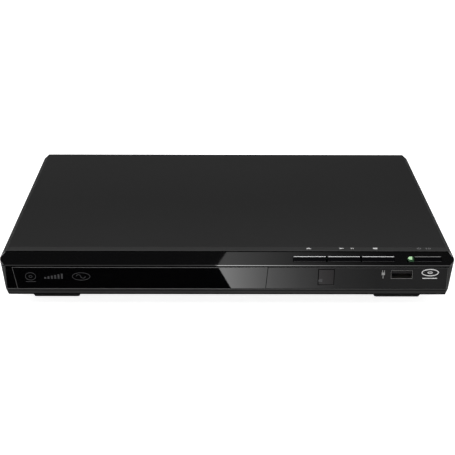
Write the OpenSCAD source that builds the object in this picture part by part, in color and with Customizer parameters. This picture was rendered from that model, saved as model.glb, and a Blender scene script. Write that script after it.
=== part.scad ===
// Slim disc player with a front-loading tray. Millimetres, +Z up, the front faces -Y, +X is the
// right-hand side seen from the front. The origin is under the middle of the case, on the table.

/* [Case] */
// Width across the widest line of the case
case_w = 270; // [268:1:300]
// Height from the table to the top of the cover
case_h = 36.5; // [36:0.5:42]
// Depth from the front ridge to the outside of the rear panel
case_d = 202; // [202:1:230]
// Thickness of the folded steel cover
cover_t = 0.8; // [0.6:0.1:1]
// Thickness of the steel bottom pan and of the rear panel
pan_t = 1; // [0.8:0.1:1.2]
// Width of the slanted edge along both sides of the top
bevel_w = 3.5; // [2:0.5:5]
// Height of the slanted edge along both sides of the top
bevel_h = 3.2; // [2:0.2:4]
// How far each side wall leans in per millimetre of height
side_lean = 0.118; // [0.05:0.01:0.14]
// Height of the pan's underside above the table
foot_h = 7.5; // [6.5:0.5:8]
// Depth of the soft pad under each foot
pad_t = 1; // [0.5:0.25:1.5]
// Width of a foot
foot_w = 32; // [24:1:34]
// Depth of a foot, front to back
foot_d = 14; // [12:1:18]
// Distance from the middle of the case to the middle of a foot
foot_x = 105; // [95:1:110]
// Distance from the ridge back to the front edge of the front feet
foot_set_back = 22; // [16:1:28]
// Width of one vent slot
vent_w = 2.4; // [1.5:0.1:3]
// Length of one vent slot
vent_l = 20; // [12:1:24]

/* [Front] */
// Depth of the matte strip that carries the key marks
strip_d = 7.3; // [6:0.1:8]
// Fall of that strip towards the front
strip_fall = 0.2; // [0:0.1:0.5]
// How far the sloped gloss band runs forward
band_run = 5.7; // [5:0.1:6.5]
// How far the sloped gloss band drops
band_drop = 6.52; // [6:0.1:7]
// Wall thickness of the gloss band
band_t = 1.6; // [1.4:0.1:1.8]
// Height of the upright edge under the ridge
ridge_h = 0.48; // [0.3:0.02:0.7]
// Gap above and below the lower gloss face
seam = 0.4; // [0.3:0.05:0.5]
// Height of the lower gloss face
face_h = 14.7; // [14.4:0.1:15.5]
// How far the lower gloss face leans back from top to bottom
face_rake = 1.95; // [1:0.05:2.2]
// Height of the matte lip below the lower gloss face
lip_h = 3.83; // [3:0.1:4]
// Wall thickness of the front moulding
bezel_t = 2; // [1.8:0.1:2.2]
// How far the front corners are cut back
corner_cut = 2.9; // [2:0.1:4]
// How far the corner cut leans in, in degrees
corner_lean = 7.4; // [5:0.1:10]
// Width of the gap round the tray door and the keys
gap = 0.4; // [0.2:0.05:0.5]
// Width of the tray door along its upper edge
door_w = 152; // [151:0.5:153]
// How far the door's left edge slants inwards
door_slant_left = 2.4; // [0:0.2:2.4]
// How far the door's right edge slants inwards
door_slant_right = 1.2; // [0:0.2:2.4]

/* [Keys] */
// Distance from the right side of the case to the start of the first key
keys_inset = 95.8; // [94:0.2:96]
// Width of the open, play and stop keys
key_w = 19.55; // [16:0.05:20]
// Gap between two of these keys
key_gap = 0.8; // [0.6:0.05:1]
// Distance from the right side of the case to the end of the power key
power_key_inset = 7.7; // [7:0.1:8.5]
// Width of the power key
power_key_w = 16.1; // [14:0.1:16.5]
// Width of the lamp's lens, left of the power key
lens_w = 4; // [3:0.1:4.4]
// Distance from the upper edge of the band down its slope to the keys
key_drop = 2.95; // [2.8:0.05:3.1]
// Height of a key, measured down the slope
key_h = 3.2; // [2.8:0.1:3.3]
// How far a key stands out of the band
key_proud = 0.3; // [0.1:0.05:0.4]
// Travel of a key
key_travel = 0.5; // [0.3:0.05:0.6]
// Clearance round a key in its opening
key_clear = 0.14; // [0.1:0.02:0.25]
// Gap left in front of a switch when its key is fully pressed
switch_clear = 0.12; // [0.05:0.01:0.2]

/* [Sockets] */
// Width of the USB socket's shell
usb_w = 13.1; // [13:0.1:13.3]
// Height of the USB socket's shell
usb_h = 5.6; // [5.5:0.1:5.8]
// Distance from the right side of the case to the middle of the USB socket
usb_inset = 31; // [27:0.5:36]
// Centre of the USB socket below the top of the lower face
usb_drop = 5.3; // [4.5:0.1:8]
// Width of the remote-control window
window_w = 9.8; // [9:0.1:12]
// Height of the remote-control window
window_h = 10.9; // [9:0.1:11.2]
// Distance from the right side of the case to the middle of the window
window_inset = 76; // [66:0.5:80]
// Centre of the remote-control window below the top of the lower face
window_drop = 7; // [6.4:0.1:7.6]
// Radius of a phono socket's metal barrel
jack_r = 4.15; // [4.1:0.01:4.2]
// How far the phono sockets stand out of the rear panel
jack_reach = 5; // [4:0.5:6]
// Distance between two phono sockets
jack_pitch = 12; // [11.8:0.1:13]
// Width of the scart socket's shell
scart_w = 47; // [46:0.5:48]
// Height of the scart socket's shell
scart_h = 15; // [14:0.2:15.4]
// Width of the mains inlet's body
inlet_w = 21; // [20:0.5:24]
// Height of the mains inlet's body
inlet_h = 12.4; // [12:0.2:13]

/* [Tray] */
// Diameter of the disc that the tray takes
disc_d = 120; // [118:1:122]
// Space round the disc in its recess
disc_clear = 0.7; // [0.4:0.1:1]
// Depth of the disc recess
disc_deep = 1.7; // [1.4:0.1:1.9]
// Width of the tray
tray_w = 134; // [130:1:134]
// Space between each edge of the tray and the loader's side wall
tray_side = 4; // [3.6:0.1:4.5]
// Thickness of the tray's plate
tray_t = 3.3; // [3:0.1:3.4]
// How far the tray slides out
tray_travel = 128; // [118:1:130]
// Distance from the left side of the case to the middle of the tray
tray_inset = 83; // [82.5:0.5:84]
// Distance from the ridge to the disc's centre when the tray is in
disc_set_back = 73.5; // [73:0.5:75]
// Width of the slot under the disc for the turntable and the pickup
slot_w = 38; // [36:0.5:40]

/* [Tray drive] */
// Module of the rack and gears
gear_m = 1; // [0.9:0.05:1]
// Teeth on the gear that drives the rack
tray_gear_z = 24; // [22:1:25]
// Teeth on the pinion under the pulley
pinion_z = 12; // [12:1:14]
// Play between two meshing teeth
backlash = 0.16; // [0.1:0.02:0.24]
// Radius of the driven pulley
pulley_r = 13; // [11:0.5:13.5]
// Radius of the motor's pulley
motor_pulley_r = 3.25; // [3:0.25:4]
// Distance from the motor's shaft to the driven pulley's shaft
belt_span = 35; // [33:0.5:36]
// Thickness of the square belt
belt_t = 1.2; // [1:0.1:1.4]
// Radial running clearance of every shaft and pin in its bore
run_clear = 0.05; // [0.02:0.01:0.1]
// Radius of the fixed posts that the gears turn on
post_r = 2; // [1.6:0.1:2.2]

/* [Disc drive] */
// How far the drive's base swings up to lift the disc, in degrees
lift_angle = 3.8; // [3.6:0.1:3.9]
// Radius of the turntable
platter_r = 15; // [13:0.5:16]
// Radius of the cone that centres the disc
cone_r = 7.4; // [7:0.1:7.5]
// Radius of the clamp's flange
clamp_r = 17; // [16:0.5:18]
// Radius of the hole in the clamp bridge
clamp_hole_r = 14; // [13:0.5:15]
// Radius of the pickup's guide rods
rod_r = 1.5; // [1.2:0.1:1.6]
// How far the pickup travels
sled_travel = 36; // [30:1:36]
// Radius on the disc at which the pickup starts
sled_start_r = 22; // [22:0.5:23]
// Travel of the cam slider
cam_travel = 14; // [12:0.5:15]

/* [Electronics] */
// Thickness of the circuit boards
board_t = 1.6; // [1.2:0.1:1.6]
// Width of the main board
main_w = 101; // [96:1:102]
// Depth of the main board
main_d = 87; // [80:1:95]
// Width of the power board
power_w = 116; // [112:1:130]
// Depth of the power board
power_d = 25; // [24:0.5:26]
// Height of the boards above the pan
standoff_h = 5; // [4:0.5:6]

/* [Hidden] */
$fn = 64;
eps = 0.01;

// Case
hw = case_w / 2;
ridge_y = -(case_d + jack_reach) / 2;
rear_y = ridge_y + case_d;
panel_y = rear_y - pan_t;
floor_z = foot_h + pan_t;
bevel_z = case_h - bevel_h;
board_z = floor_z + standoff_h;

loader_x = -hw + tray_inset;
pcb_top = board_z + board_t;

// Front section, from the top down
band_y = ridge_y + band_run;
cover_front_y = band_y + strip_d;
band_z = case_h - strip_fall;
ridge_z = band_z - band_drop;
ledge_z = ridge_z - ridge_h;
ledge_t = 1;
face_z = ledge_z - seam;
face_low_z = face_z - face_h;
lip_z = face_low_z - 0.3;
lip_low_z = lip_z - lip_h;
face_y = ridge_y + 0.25;
face_low_y = face_y + face_rake;
wall_y = ridge_y + 4.5;
wall_back_y = wall_y + bezel_t;
strip_t = 1.8;
band_tilt = atan2(band_drop, band_run);
gloss_x = hw - 3.4;
front_lip_y = face_low_y + 0.15;

// Corners of the door along X, upper then lower
door_left = [loader_x - door_w / 2, loader_x - door_w / 2 + door_slant_left];
door_right = [loader_x + door_w / 2, loader_x + door_w / 2 - door_slant_right];

// Start and end of each key along X: open, play, stop, power
keys_x0 = hw - keys_inset;
power_key_x1 = hw - power_key_inset;
key_spans = concat(
    [for (i = [0:2]) [keys_x0 + i * (key_w + key_gap), keys_x0 + i * (key_w + key_gap) + key_w]],
    [[power_key_x1 - power_key_w, power_key_x1]]
);
lens_x1 = power_key_x1 - power_key_w - 0.2;
lens_span = [lens_x1 - lens_w, lens_x1];
key_band = [key_drop, key_drop + key_h];
usb_x = hw - usb_inset;
window_x = hw - window_inset;

// Tray and loader heights
tray_top_z = face_z - 2.2;
tray_low_z = tray_top_z - tray_t;
disc_z = tray_top_z - disc_deep;
disc_y = ridge_y + disc_set_back;
recess_r = disc_d / 2 + disc_clear;
tray_front_y = wall_y + 1.5;
tray_rear_y = disc_y + recess_r + 17.3;
gear_y = ridge_y + 31.5;
arm_rear_y = gear_y + tray_travel + 6;
tray_x0 = loader_x - tray_w / 2;
tray_x1 = loader_x + tray_w / 2;
wall_x0 = tray_x0 - tray_side;
wall_x1 = tray_x1 + tray_side;
opening = [wall_x0 - 2, wall_x1 + 2, face_low_z + 1.4, face_z - 1.7];
frame_wall = 2.2;
frame_front_y = cover_front_y + 1.5;
frame_rear_y = arm_rear_y + 6;
frame_top_z = tray_top_z + 1.8;
deck_t = 1.5;
deck_z = floor_z + deck_t;
rail_z = tray_low_z - 0.2;

// Drive of the tray
rack_x = tray_x1 - 8;
tray_gear_r = gear_m * tray_gear_z / 2;
pinion_r = gear_m * pinion_z / 2;
tray_gear_x = rack_x - tray_gear_r;
pulley_x = tray_gear_x - tray_gear_r - pinion_r;
motor_x = pulley_x - belt_span;
pulley_z = deck_z + 0.6;
pulley_h = 2.8;
belt_z = pulley_z + 0.8;
gear_top_z = tray_low_z - 0.4;
tray_gear_z0 = tray_low_z - 7;
pinion_top_z = tray_gear_z0 + 3.1;
mount_z = pulley_z + 2.8;
mount_t = 1.2;

// Disc drive, described in its raised, level position
hinge_y = frame_rear_y - 6;
hinge_z = tray_low_z - 5.4;
base_z = tray_low_z - 4.4;
base_t = 1.5;
base_x0 = loader_x - 33;
base_x1 = loader_x + 33;
base_front_y = disc_y - 16.5;
rod_x = 24.5;
rod_z = tray_low_z - 4.8;
lens_y = disc_y + sled_start_r;
sled_front_y = lens_y - 7.5;
sled_l = 26;
sled_rear_y = sled_front_y + sled_l;
well_front_y = sled_front_y - 1;
well_rear_y = sled_rear_y + sled_travel + 1.5;
screw_x = loader_x - 19.2;
screw_z = base_z - 2;
screw_r = 1.5;
platter_z = disc_z + 1.2;
mat_t = 0.4;
cone_top_z = platter_z + mat_t + 2.4;
bridge_z = frame_top_z + 1.9;
bridge_t = 1;
clamp_z = bridge_z + bridge_t + 0.2;
pin_r = 1.25;
cam_y = base_front_y - 3.5;
cam_t = 2;
pin_z = tray_low_z - 2.8;
pin_low_z = hinge_z - (hinge_y - cam_y - cam_t / 2) * sin(lift_angle) + (pin_z - hinge_z) * cos(lift_angle);

// Right-hand electronics
front_board_y = cover_front_y + 0.1;
front_board = [hw - 105, hw - 6.5, tray_low_z - 7.1, case_h - 2.3];
switch_z = case_h - 5.2;
plunger_y = front_board_y - 4.6;
main_x0 = wall_x1 + 7;
main_y1 = panel_y - 2;
main_y0 = main_y1 - main_d;
power_x0 = wall_x0 + 1;
power_y1 = panel_y - 2;
power_y0 = power_y1 - power_d;
jack_x0 = main_x0 + main_w - 41;
jack_z = pcb_top + 7;
scart_x = jack_x0 - 34;
scart_z = pcb_top + scart_h / 2 + 0.2;
inlet_x = power_x0 + 14;
inlet_z = pcb_top + inlet_h / 2;
inlet_flange = 1.5;

// ---------------------------------------------------------------- shared shapes

module box(x0, x1, y0, y1, z0, z1) { translate([x0, y0, z0]) cube([x1 - x0, y1 - y0, z1 - z0]); }

// A profile drawn in (Y, Z) and drawn out along X
module along_x(x0, x1) { translate([x0, 0, 0]) rotate([90, 0, 90]) linear_extrude(x1 - x0) children(); }

// A profile drawn in (X, Z) and drawn out along Y
module along_y(y0, y1) { translate([0, y1, 0]) rotate([90, 0, 0]) linear_extrude(y1 - y0) children(); }

module rod_y(x, y0, y1, z, r) { translate([x, y0, z]) rotate([-90, 0, 0]) cylinder(r = r, h = y1 - y0); }

module rod_x(x0, x1, y, z, r) { translate([x0, y, z]) rotate([0, 90, 0]) cylinder(r = r, h = x1 - x0); }

module rod_z(x, y, z0, z1, r) { translate([x, y, z0]) cylinder(r = r, h = z1 - z0); }

module rounded_plate(x0, x1, y0, y1, z0, z1, r) {
    translate([0, 0, z0]) linear_extrude(z1 - z0) {
        translate([x0 + r, y0]) square([x1 - x0 - 2 * r, y1 - y0]);
        translate([x0, y0 + r]) square([x1 - x0, y1 - y0 - 2 * r]);
        for (x = [x0 + r, x1 - r], y = [y0 + r, y1 - r]) translate([x, y]) circle(r);
    }
}

// Half width of the leaning side wall at a height
function side_x(z) = hw - side_lean * (bevel_z - z);

// Outline of the case seen from the front, shrunk by a wall and cut off at a height
module case_outline(wall, low_z, corner) {
    top = case_h - wall;
    slant = wall * 0.45;
    polygon([
        [-(hw - bevel_w - slant), top], [hw - bevel_w - slant, top],
        [hw - wall, bevel_z - slant], [side_x(low_z + corner) - wall, low_z + corner],
        [side_x(low_z) - wall - corner * 0.4, low_z], [-(side_x(low_z) - wall - corner * 0.4), low_z],
        [-(side_x(low_z + corner) - wall), low_z + corner], [-(hw - wall), bevel_z - slant]
    ]);
}

// Cross-recessed screw: its head sits on z = 0 and its shank points down
module screw(head_r, head_h, shank_r, shank_l) {
    difference() {
        union() {
            cylinder(r = head_r, h = head_h);
            translate([0, 0, -shank_l]) cylinder(r = shank_r, h = shank_l + eps);
        }
        for (a = [0, 90]) rotate([0, 0, a]) translate([-head_r * 0.6, -0.25, head_h * 0.4])
            cube([head_r * 1.2, 0.5, head_h]);
    }
}

// ---------------------------------------------------------------- screw places

cover_screw_z = floor_z + 6;
cover_screw_ys = [ridge_y + 45, rear_y - 25];
rear_screw_z = case_h - 5.2;
rear_screw_xs = [-95, 0, 95];
screw_r3 = 1.3;
screw_free_r = 1.7;

module at_cover_screws() {
    for (s = [-1, 1], y = cover_screw_ys)
        translate([s * side_x(cover_screw_z), y, cover_screw_z])
            rotate([0, s * (90 + atan(side_lean)), 0]) children();
}

module at_rear_screws() {
    for (x = rear_screw_xs) translate([x, rear_y + cover_t, rear_screw_z]) rotate([-90, 0, 0]) children();
}

// ---------------------------------------------------------------- case

module side_vents() {
    for (s = [-1, 1], i = [0:9], row = [0, 1])
        translate([s * hw, rear_y - 34 - i * 6, bevel_z - 4 - row * 9])
            cube([12, vent_w, 6.5], center = true);
}

flange_drop = 9;

module top_cover() {
    color("#2b2b2b") difference() {
        union() {
            along_y(cover_front_y, rear_y) difference() {
                case_outline(0, lip_low_z, 0);
                case_outline(cover_t, lip_low_z - 1, 0);
            }
            along_y(rear_y, rear_y + cover_t) intersection() {
                case_outline(0, lip_low_z, 0);
                translate([-hw, case_h - flange_drop]) square([case_w, flange_drop]);
            }
        }
        // notches over the two tall sockets
        box(scart_x - scart_w / 2 - 0.5, scart_x + scart_w / 2 + 0.5, rear_y - eps, rear_y + 2,
            case_h - flange_drop - 1, scart_z + scart_h / 2 + 0.5);
        box(inlet_x - inlet_w / 2 - inlet_flange - 0.5, inlet_x + inlet_w / 2 + inlet_flange + 0.5,
            rear_y - eps, rear_y + 2, case_h - flange_drop - 1, inlet_z + inlet_h / 2 + inlet_flange + 0.2);
        side_vents();
        at_cover_screws() cylinder(r = screw_free_r, h = 12, center = true);
        at_rear_screws() cylinder(r = screw_free_r, h = 12, center = true);
    }
}

pan_hw = side_x(lip_low_z) - cover_t - 0.3;
flange_h = 9.5;
main_holes = [
    [main_x0 + 5, main_y0 + 6], [main_x0 + main_w - 5, main_y0 + 6],
    [main_x0 + 5, main_y0 + 66], [main_x0 + main_w - 5, main_y0 + 52]
];
power_holes = [[power_x0 + 40, power_y0 + 4], [power_x0 + power_w - 4, power_y0 + 4]];
frame_ears = [
    [wall_x0 - 3.2, ridge_y + 28.5], [wall_x1 + 3.2, ridge_y + 28.5],
    [wall_x0 - 3.2, hinge_y - 9], [wall_x1 + 3.2, hinge_y - 9]
];
ear_top_z = floor_z + 2.5;
hook_xs = [-90, -30, 30, 90];
hook_w = 8;

module bottom_chassis() {
    color("#9a9b9c") difference() {
        union() {
            box(-pan_hw, pan_hw, cover_front_y, panel_y, foot_h, floor_z);
            for (s = [-1, 1]) translate([s * (pan_hw - pan_t / 2), 0, 0])
                box(-pan_t / 2, pan_t / 2, cover_front_y, panel_y, floor_z, floor_z + flange_h);
            box(-pan_hw + pan_t, pan_hw - pan_t, cover_front_y, cover_front_y + pan_t,
                floor_z, floor_z + 7.5);
            for (p = concat(main_holes, power_holes)) translate([p[0], p[1], floor_z])
                cylinder(r = 3, h = standoff_h);
        }
        for (p = concat(main_holes, power_holes, frame_ears)) translate([p[0], p[1], 0])
            cylinder(r = screw_r3, h = 40);
        for (x = hook_xs) box(x - hook_w / 2 - 0.3, x + hook_w / 2 + 0.3, cover_front_y - 1,
            cover_front_y + pan_t + 1, lip_low_z + 0.5, lip_low_z + 2.3);
        at_cover_screws() cylinder(r = screw_r3, h = 12, center = true);
        for (i = [0:13], y = [main_y0 - 36, main_y0 + 24])
            translate([hw - 102 + i * 6.5, y, foot_h - 1]) cube([vent_w, vent_l, 4]);
    }
}

jack_xs = [for (i = [0:3]) jack_x0 + i * jack_pitch];
jack_body_r = jack_r + 1.2;
jack_hole_r = 1.65;

module rear_panel() {
    color("#1d1d1d") difference() {
        along_y(panel_y, rear_y) intersection() {
            case_outline(cover_t + 0.15, floor_z, 0);
            translate([-pan_hw, floor_z]) square([2 * pan_hw, case_h]);
        }
        for (x = jack_xs) rod_y(x, panel_y - 1, rear_y + 1, jack_z, jack_body_r + 0.2);
        box(scart_x - scart_w / 2 - 0.3, scart_x + scart_w / 2 + 0.3, panel_y - 1, rear_y + 1,
            scart_z - scart_h / 2 - 0.3, scart_z + scart_h / 2 + 0.3);
        box(inlet_x - inlet_w / 2 - 0.2, inlet_x + inlet_w / 2 + 0.2, panel_y - 1, rear_y + 1,
            pcb_top - 0.2, pcb_top + inlet_h + 0.2);
        at_rear_screws() cylinder(r = screw_r3, h = 12, center = true);
        for (i = [0:11]) translate([-62 + i * 6, panel_y - 1, floor_z + 8]) cube([vent_w, 4, 12]);
    }
}

foot_ys = [ridge_y + foot_set_back, rear_y - 18 - foot_d];

foot_taper = 1.8;

// Four feet, each wider at the top than at the bottom
module feet() {
    color("#111111") for (s = [-1, 1], y = foot_ys)
        along_y(y, y + foot_d) polygon([
            [s * foot_x - foot_w / 2, foot_h], [s * foot_x + foot_w / 2, foot_h],
            [s * foot_x + foot_w / 2 - foot_taper, pad_t], [s * foot_x - foot_w / 2 + foot_taper, pad_t]
        ]);
}

module foot_pads() {
    color("#3a3a3a") for (s = [-1, 1], y = foot_ys)
        rounded_plate(s * foot_x - foot_w / 2 + foot_taper + 0.2, s * foot_x + foot_w / 2 - foot_taper - 0.2,
            y + 0.6, y + foot_d - 0.6, 0, pad_t, 1.5);
}

module case_screws() {
    color("#202020") {
        at_cover_screws() screw(3, 1.6, screw_r3, 4.5);
        at_rear_screws() screw(2.8, 1.5, screw_r3, 5);
    }
}

// ---------------------------------------------------------------- front

// Outline of the whole front in (Y, Z): strip, sloped band, raked face and lip
module front_section() {
    polygon([
        [cover_front_y, case_h], [band_y, band_z], [ridge_y, ridge_z], [ridge_y, ledge_z],
        [face_y, face_z], [face_low_y, face_low_z], [face_low_y, lip_z], [front_lip_y - 0.45, lip_z - 0.5],
        [front_lip_y, lip_low_z + 0.8], [front_lip_y + 0.7, lip_low_z], [cover_front_y, lip_low_z]
    ]);
}

// Space of the sloped gloss band in (Y, Z)
module band_section() {
    dy = band_t * sin(band_tilt);
    dz = band_t * cos(band_tilt);
    inner_y = band_y + dy - (band_z - dz - ledge_z - ledge_t) * band_run / band_drop;
    polygon([
        [band_y, band_z], [ridge_y, ridge_z], [ridge_y, ledge_z], [wall_back_y, ledge_z],
        [wall_back_y, ledge_z + ledge_t], [inner_y, ledge_z + ledge_t], [band_y + dy, band_z - dz]
    ]);
}

// Space of the lower gloss pieces in (Y, Z)
module face_section() {
    polygon([[face_y, face_z], [face_low_y, face_low_z], [wall_y, face_low_z], [wall_y, face_z]]);
}

// Trims a front piece to the outline of the case and to the leaning corner cuts
module trim_to_case() {
    difference() {
        intersection() {
            children();
            along_y(ridge_y - 1, cover_front_y + 10) case_outline(0, lip_low_z, 3.6);
        }
        for (s = [-1, 1]) translate([s * (hw - corner_cut), ridge_y, ridge_z])
            rotate([0, 0, s > 0 ? -45 : -135]) rotate([0, corner_lean, 0])
                translate([0, -30, -60]) cube([30, 60, 120]);
    }
}

// Moves to the band: local Y runs up its slope and local Z stands out of it
module on_band() { translate([0, band_y, band_z]) rotate([band_tilt, 0, 0]) children(); }

boss_xs = [hw - 101, hw - 85, hw - 45, hw - 10];
boss_z = tray_low_z - 3;

hollow_x = hw - 5.7;
strip_low_z = case_h - strip_fall - strip_t;
lip_floor_t = 1.9;

module front_bezel() {
    color("#1c1c1c") difference() {
        union() {
            trim_to_case() along_x(-hw, hw) front_section();
            // tongue under the cover and hooks through the pan
            box(-hw + 8, hw - 8, cover_front_y, cover_front_y + 4, case_h - 2.1, case_h - cover_t - 0.1);
            for (x = hook_xs) {
                box(x - hook_w / 2, x + hook_w / 2, cover_front_y, cover_front_y + 3.2,
                    lip_low_z + 0.8, lip_low_z + 1.9);
                box(x - hook_w / 2, x + hook_w / 2, cover_front_y + pan_t + 0.2, cover_front_y + 3.2,
                    lip_low_z + 1.9, lip_low_z + 2.2);
            }
        }
        along_x(-hw, hw) band_section();
        along_x(-gloss_x, gloss_x) polygon([
            [ridge_y - 1, ledge_z + eps], [ridge_y - 1, lip_z], [wall_y, lip_z], [wall_y, ledge_z + eps]
        ]);
        // hollow behind the wall and behind the band
        box(-hollow_x, hollow_x, wall_back_y, cover_front_y + 1, lip_low_z + lip_floor_t, strip_low_z);
        along_x(-hollow_x, hollow_x) polygon([
            [wall_back_y, ledge_z], [wall_back_y, strip_low_z], [wall_back_y - 0.2, strip_low_z],
            [ridge_y, ridge_z]
        ]);
        box(opening[0], opening[1], ridge_y, wall_back_y + 1, opening[2], opening[3]);
        box(usb_x - usb_w / 2 - 0.3, usb_x + usb_w / 2 + 0.3, ridge_y, wall_back_y + 1,
            face_z - usb_drop - usb_h / 2 - 0.3, face_z - usb_drop + usb_h / 2 + 0.3);
        box(window_x - 4.4, window_x + 4.4, ridge_y, wall_back_y + 1,
            face_z - window_drop - 4.4, face_z - window_drop + 4.4);
    }
    color("#1c1c1c") for (x = boss_xs) difference() {
        rod_y(x, wall_back_y, front_board_y, boss_z, 2.4);
        rod_y(x, wall_back_y + 0.5, front_board_y + 1, boss_z, 1);
    }
}

module key_opening(x0, x1) {
    on_band() translate([x0 - key_clear, -key_band[1] - key_clear, -band_t - 0.3])
        cube([x1 - x0 + 2 * key_clear, key_band[1] - key_band[0] + 2 * key_clear, band_t + 2]);
    box(x0 - key_clear, x1 + key_clear, wall_y - 2.6, wall_back_y + 1, ledge_z + 0.6, ledge_z + ledge_t + 1);
}

module upper_band() {
    color("#050505") difference() {
        trim_to_case() along_x(-hw, hw) band_section();
        key_opening(key_spans[0][0], key_spans[2][1]);
        key_opening(lens_span[0], key_spans[3][1]);
    }
}

// Right-hand part of the lower gloss face
module lower_panel() {
    z = face_z - usb_drop;
    color("#040404") difference() {
        intersection() {
            along_x(0, gloss_x) face_section();
            along_y(ridge_y - 1, wall_y) polygon([
                [door_right[0] + gap, face_z], [gloss_x, face_z],
                [gloss_x, face_low_z], [door_right[1] + gap, face_low_z]
            ]);
        }
        box(usb_x - usb_w / 2 - 0.15, usb_x + usb_w / 2 + 0.15, ridge_y - 1, wall_y + 1,
            z - usb_h / 2 - 0.15, z + usb_h / 2 + 0.15);
        box(window_x - window_w / 2, window_x + window_w / 2, ridge_y - 1, wall_y + 1,
            face_z - window_drop - window_h / 2, face_z - window_drop + window_h / 2);
    }
}

module left_trim() {
    color("#040404") intersection() {
        along_x(-gloss_x, 0) face_section();
        along_y(ridge_y - 1, wall_y) polygon([
            [-gloss_x, face_z], [door_left[0] - gap, face_z], [door_left[1] - gap, face_low_z],
            [-gloss_x, face_low_z]
        ]);
    }
}

// Dark window over the receiver, a hair smaller than its opening
module ir_window() {
    slack = 0.12;
    color("#0b0507") intersection() {
        along_x(window_x - window_w / 2 + slack, window_x + window_w / 2 - slack) face_section();
        box(-hw, hw, ridge_y - 1, wall_y, face_z - window_drop - window_h / 2 + slack,
            face_z - window_drop + window_h / 2 - slack);
    }
}

module power_lens() {
    color("#7fe08a") {
        on_band() translate([0, 0, -band_t - 0.1]) linear_extrude(band_t + 0.2) polygon([
            [lens_span[0], -(key_band[0] + key_band[1]) / 2], [lens_span[0] + 1.4, -key_band[1]],
            [lens_span[1], -key_band[1]], [lens_span[1], -key_band[0]], [lens_span[0] + 1.4, -key_band[0]]
        ]);
        // light guide back to the lamp on the board
        box(lens_span[0] + 1.4, lens_span[1] - 0.6, band_y - 1.5, plunger_y + 1.4,
            switch_z - 0.6, switch_z + 0.8);
    }
}

key_leg_y = plunger_y - switch_clear - key_travel * sin(band_tilt);

// One key: a bar in the band, a stop plate behind it and a leg to its switch
module key(i) {
    x0 = key_spans[i][0];
    x1 = key_spans[i][1];
    mid = (x0 + x1) / 2;
    on_band() {
        translate([x0, -key_band[1], -band_t - 0.15])
            cube([x1 - x0, key_band[1] - key_band[0], band_t + 0.15 + key_proud]);
        translate([x0, -key_band[1] + 1.15, -band_t - 0.9])
            cube([x1 - x0, key_band[1] - key_band[0] - 0.4, 0.75]);
    }
    box(mid - 1.5, mid + 1.5, band_y - 0.9, key_leg_y, switch_z - 0.2, switch_z + 1);
}

module key_open() { color("#1a1a1a") key(0); }
module key_play() { color("#1a1a1a") key(1); }
module key_stop() { color("#1a1a1a") key(2); }
module key_power() { color("#1a1a1a") key(3); }

module front_board() {
    mid = (lens_span[0] + lens_span[1]) / 2;
    color("#2f6b3a") difference() {
        box(front_board[0], front_board[1], front_board_y, front_board_y + board_t,
            front_board[2], front_board[3]);
        for (x = boss_xs) rod_y(x, front_board_y - 1, front_board_y + 4, boss_z, screw_r3);
    }
    color("#e8f4e8") box(mid - 1.2, mid + 1.2, plunger_y + 1.5, front_board_y,
        switch_z - 1.2, switch_z + 1.2);
}

module tact_switches() {
    for (s = key_spans) {
        mid = (s[0] + s[1]) / 2;
        color("#303030") box(mid - 3, mid + 3, front_board_y - 3.5, front_board_y,
            switch_z - 3, switch_z + 2.9);
        color("#c8b070") rod_y(mid, plunger_y, front_board_y - 3.5, switch_z, 1.6);
    }
}

module ir_receiver() {
    z = face_z - window_drop;
    color("#14090b") {
        box(window_x - 3.5, window_x + 3.5, front_board_y - 3, front_board_y, z - 4, z + 4);
        translate([window_x, front_board_y - 3, z]) sphere(r = 2.6);
    }
}

// USB socket: folded metal shell, contact tongue and four tabs through the board
module usb_socket() {
    z = face_z - usb_drop;
    w = usb_w / 2;
    h = usb_h / 2;
    front_y = face_y + face_rake * usb_drop / face_h + 0.3;
    color("#b9bcc0") difference() {
        box(usb_x - w, usb_x + w, front_y, front_board_y, z - h, z + h);
        box(usb_x - w + 0.4, usb_x + w - 0.4, front_y - 1, front_board_y - 1, z - h + 0.4, z + h - 0.4);
    }
    color("#1b1b1b") box(usb_x - 5.6, usb_x + 5.6, front_y + 1.2, front_board_y - 1, z + 0.2, z + 2);
}

// ---------------------------------------------------------------- tray

pitch = PI * gear_m;

// Straight rack in the XY plane: pitch line on x = 0, teeth towards -x, a gap centred on y = 0
module rack_profile(y0, y1) {
    half = pitch / 4 - backlash / 4;
    lean = tan(20);
    tip = 0.8 * gear_m;
    root = 1.1 * gear_m;
    first = floor(y0 / pitch);
    last = floor(y1 / pitch);
    polygon(concat(
        [[root + 2.4, y0], [root, y0]],
        [for (i = [first:last], k = [0:3])
            let(c = (i + 0.5) * pitch)
            if (c > y0 + pitch / 2 && c < y1 - pitch / 2)
                [[root, c - half - root * lean], [-tip, c - half + tip * lean],
                 [-tip, c + half - tip * lean], [root, c + half + root * lean]][k]],
        [[root, y1], [root + 2.4, y1]]
    ));
}

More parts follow.
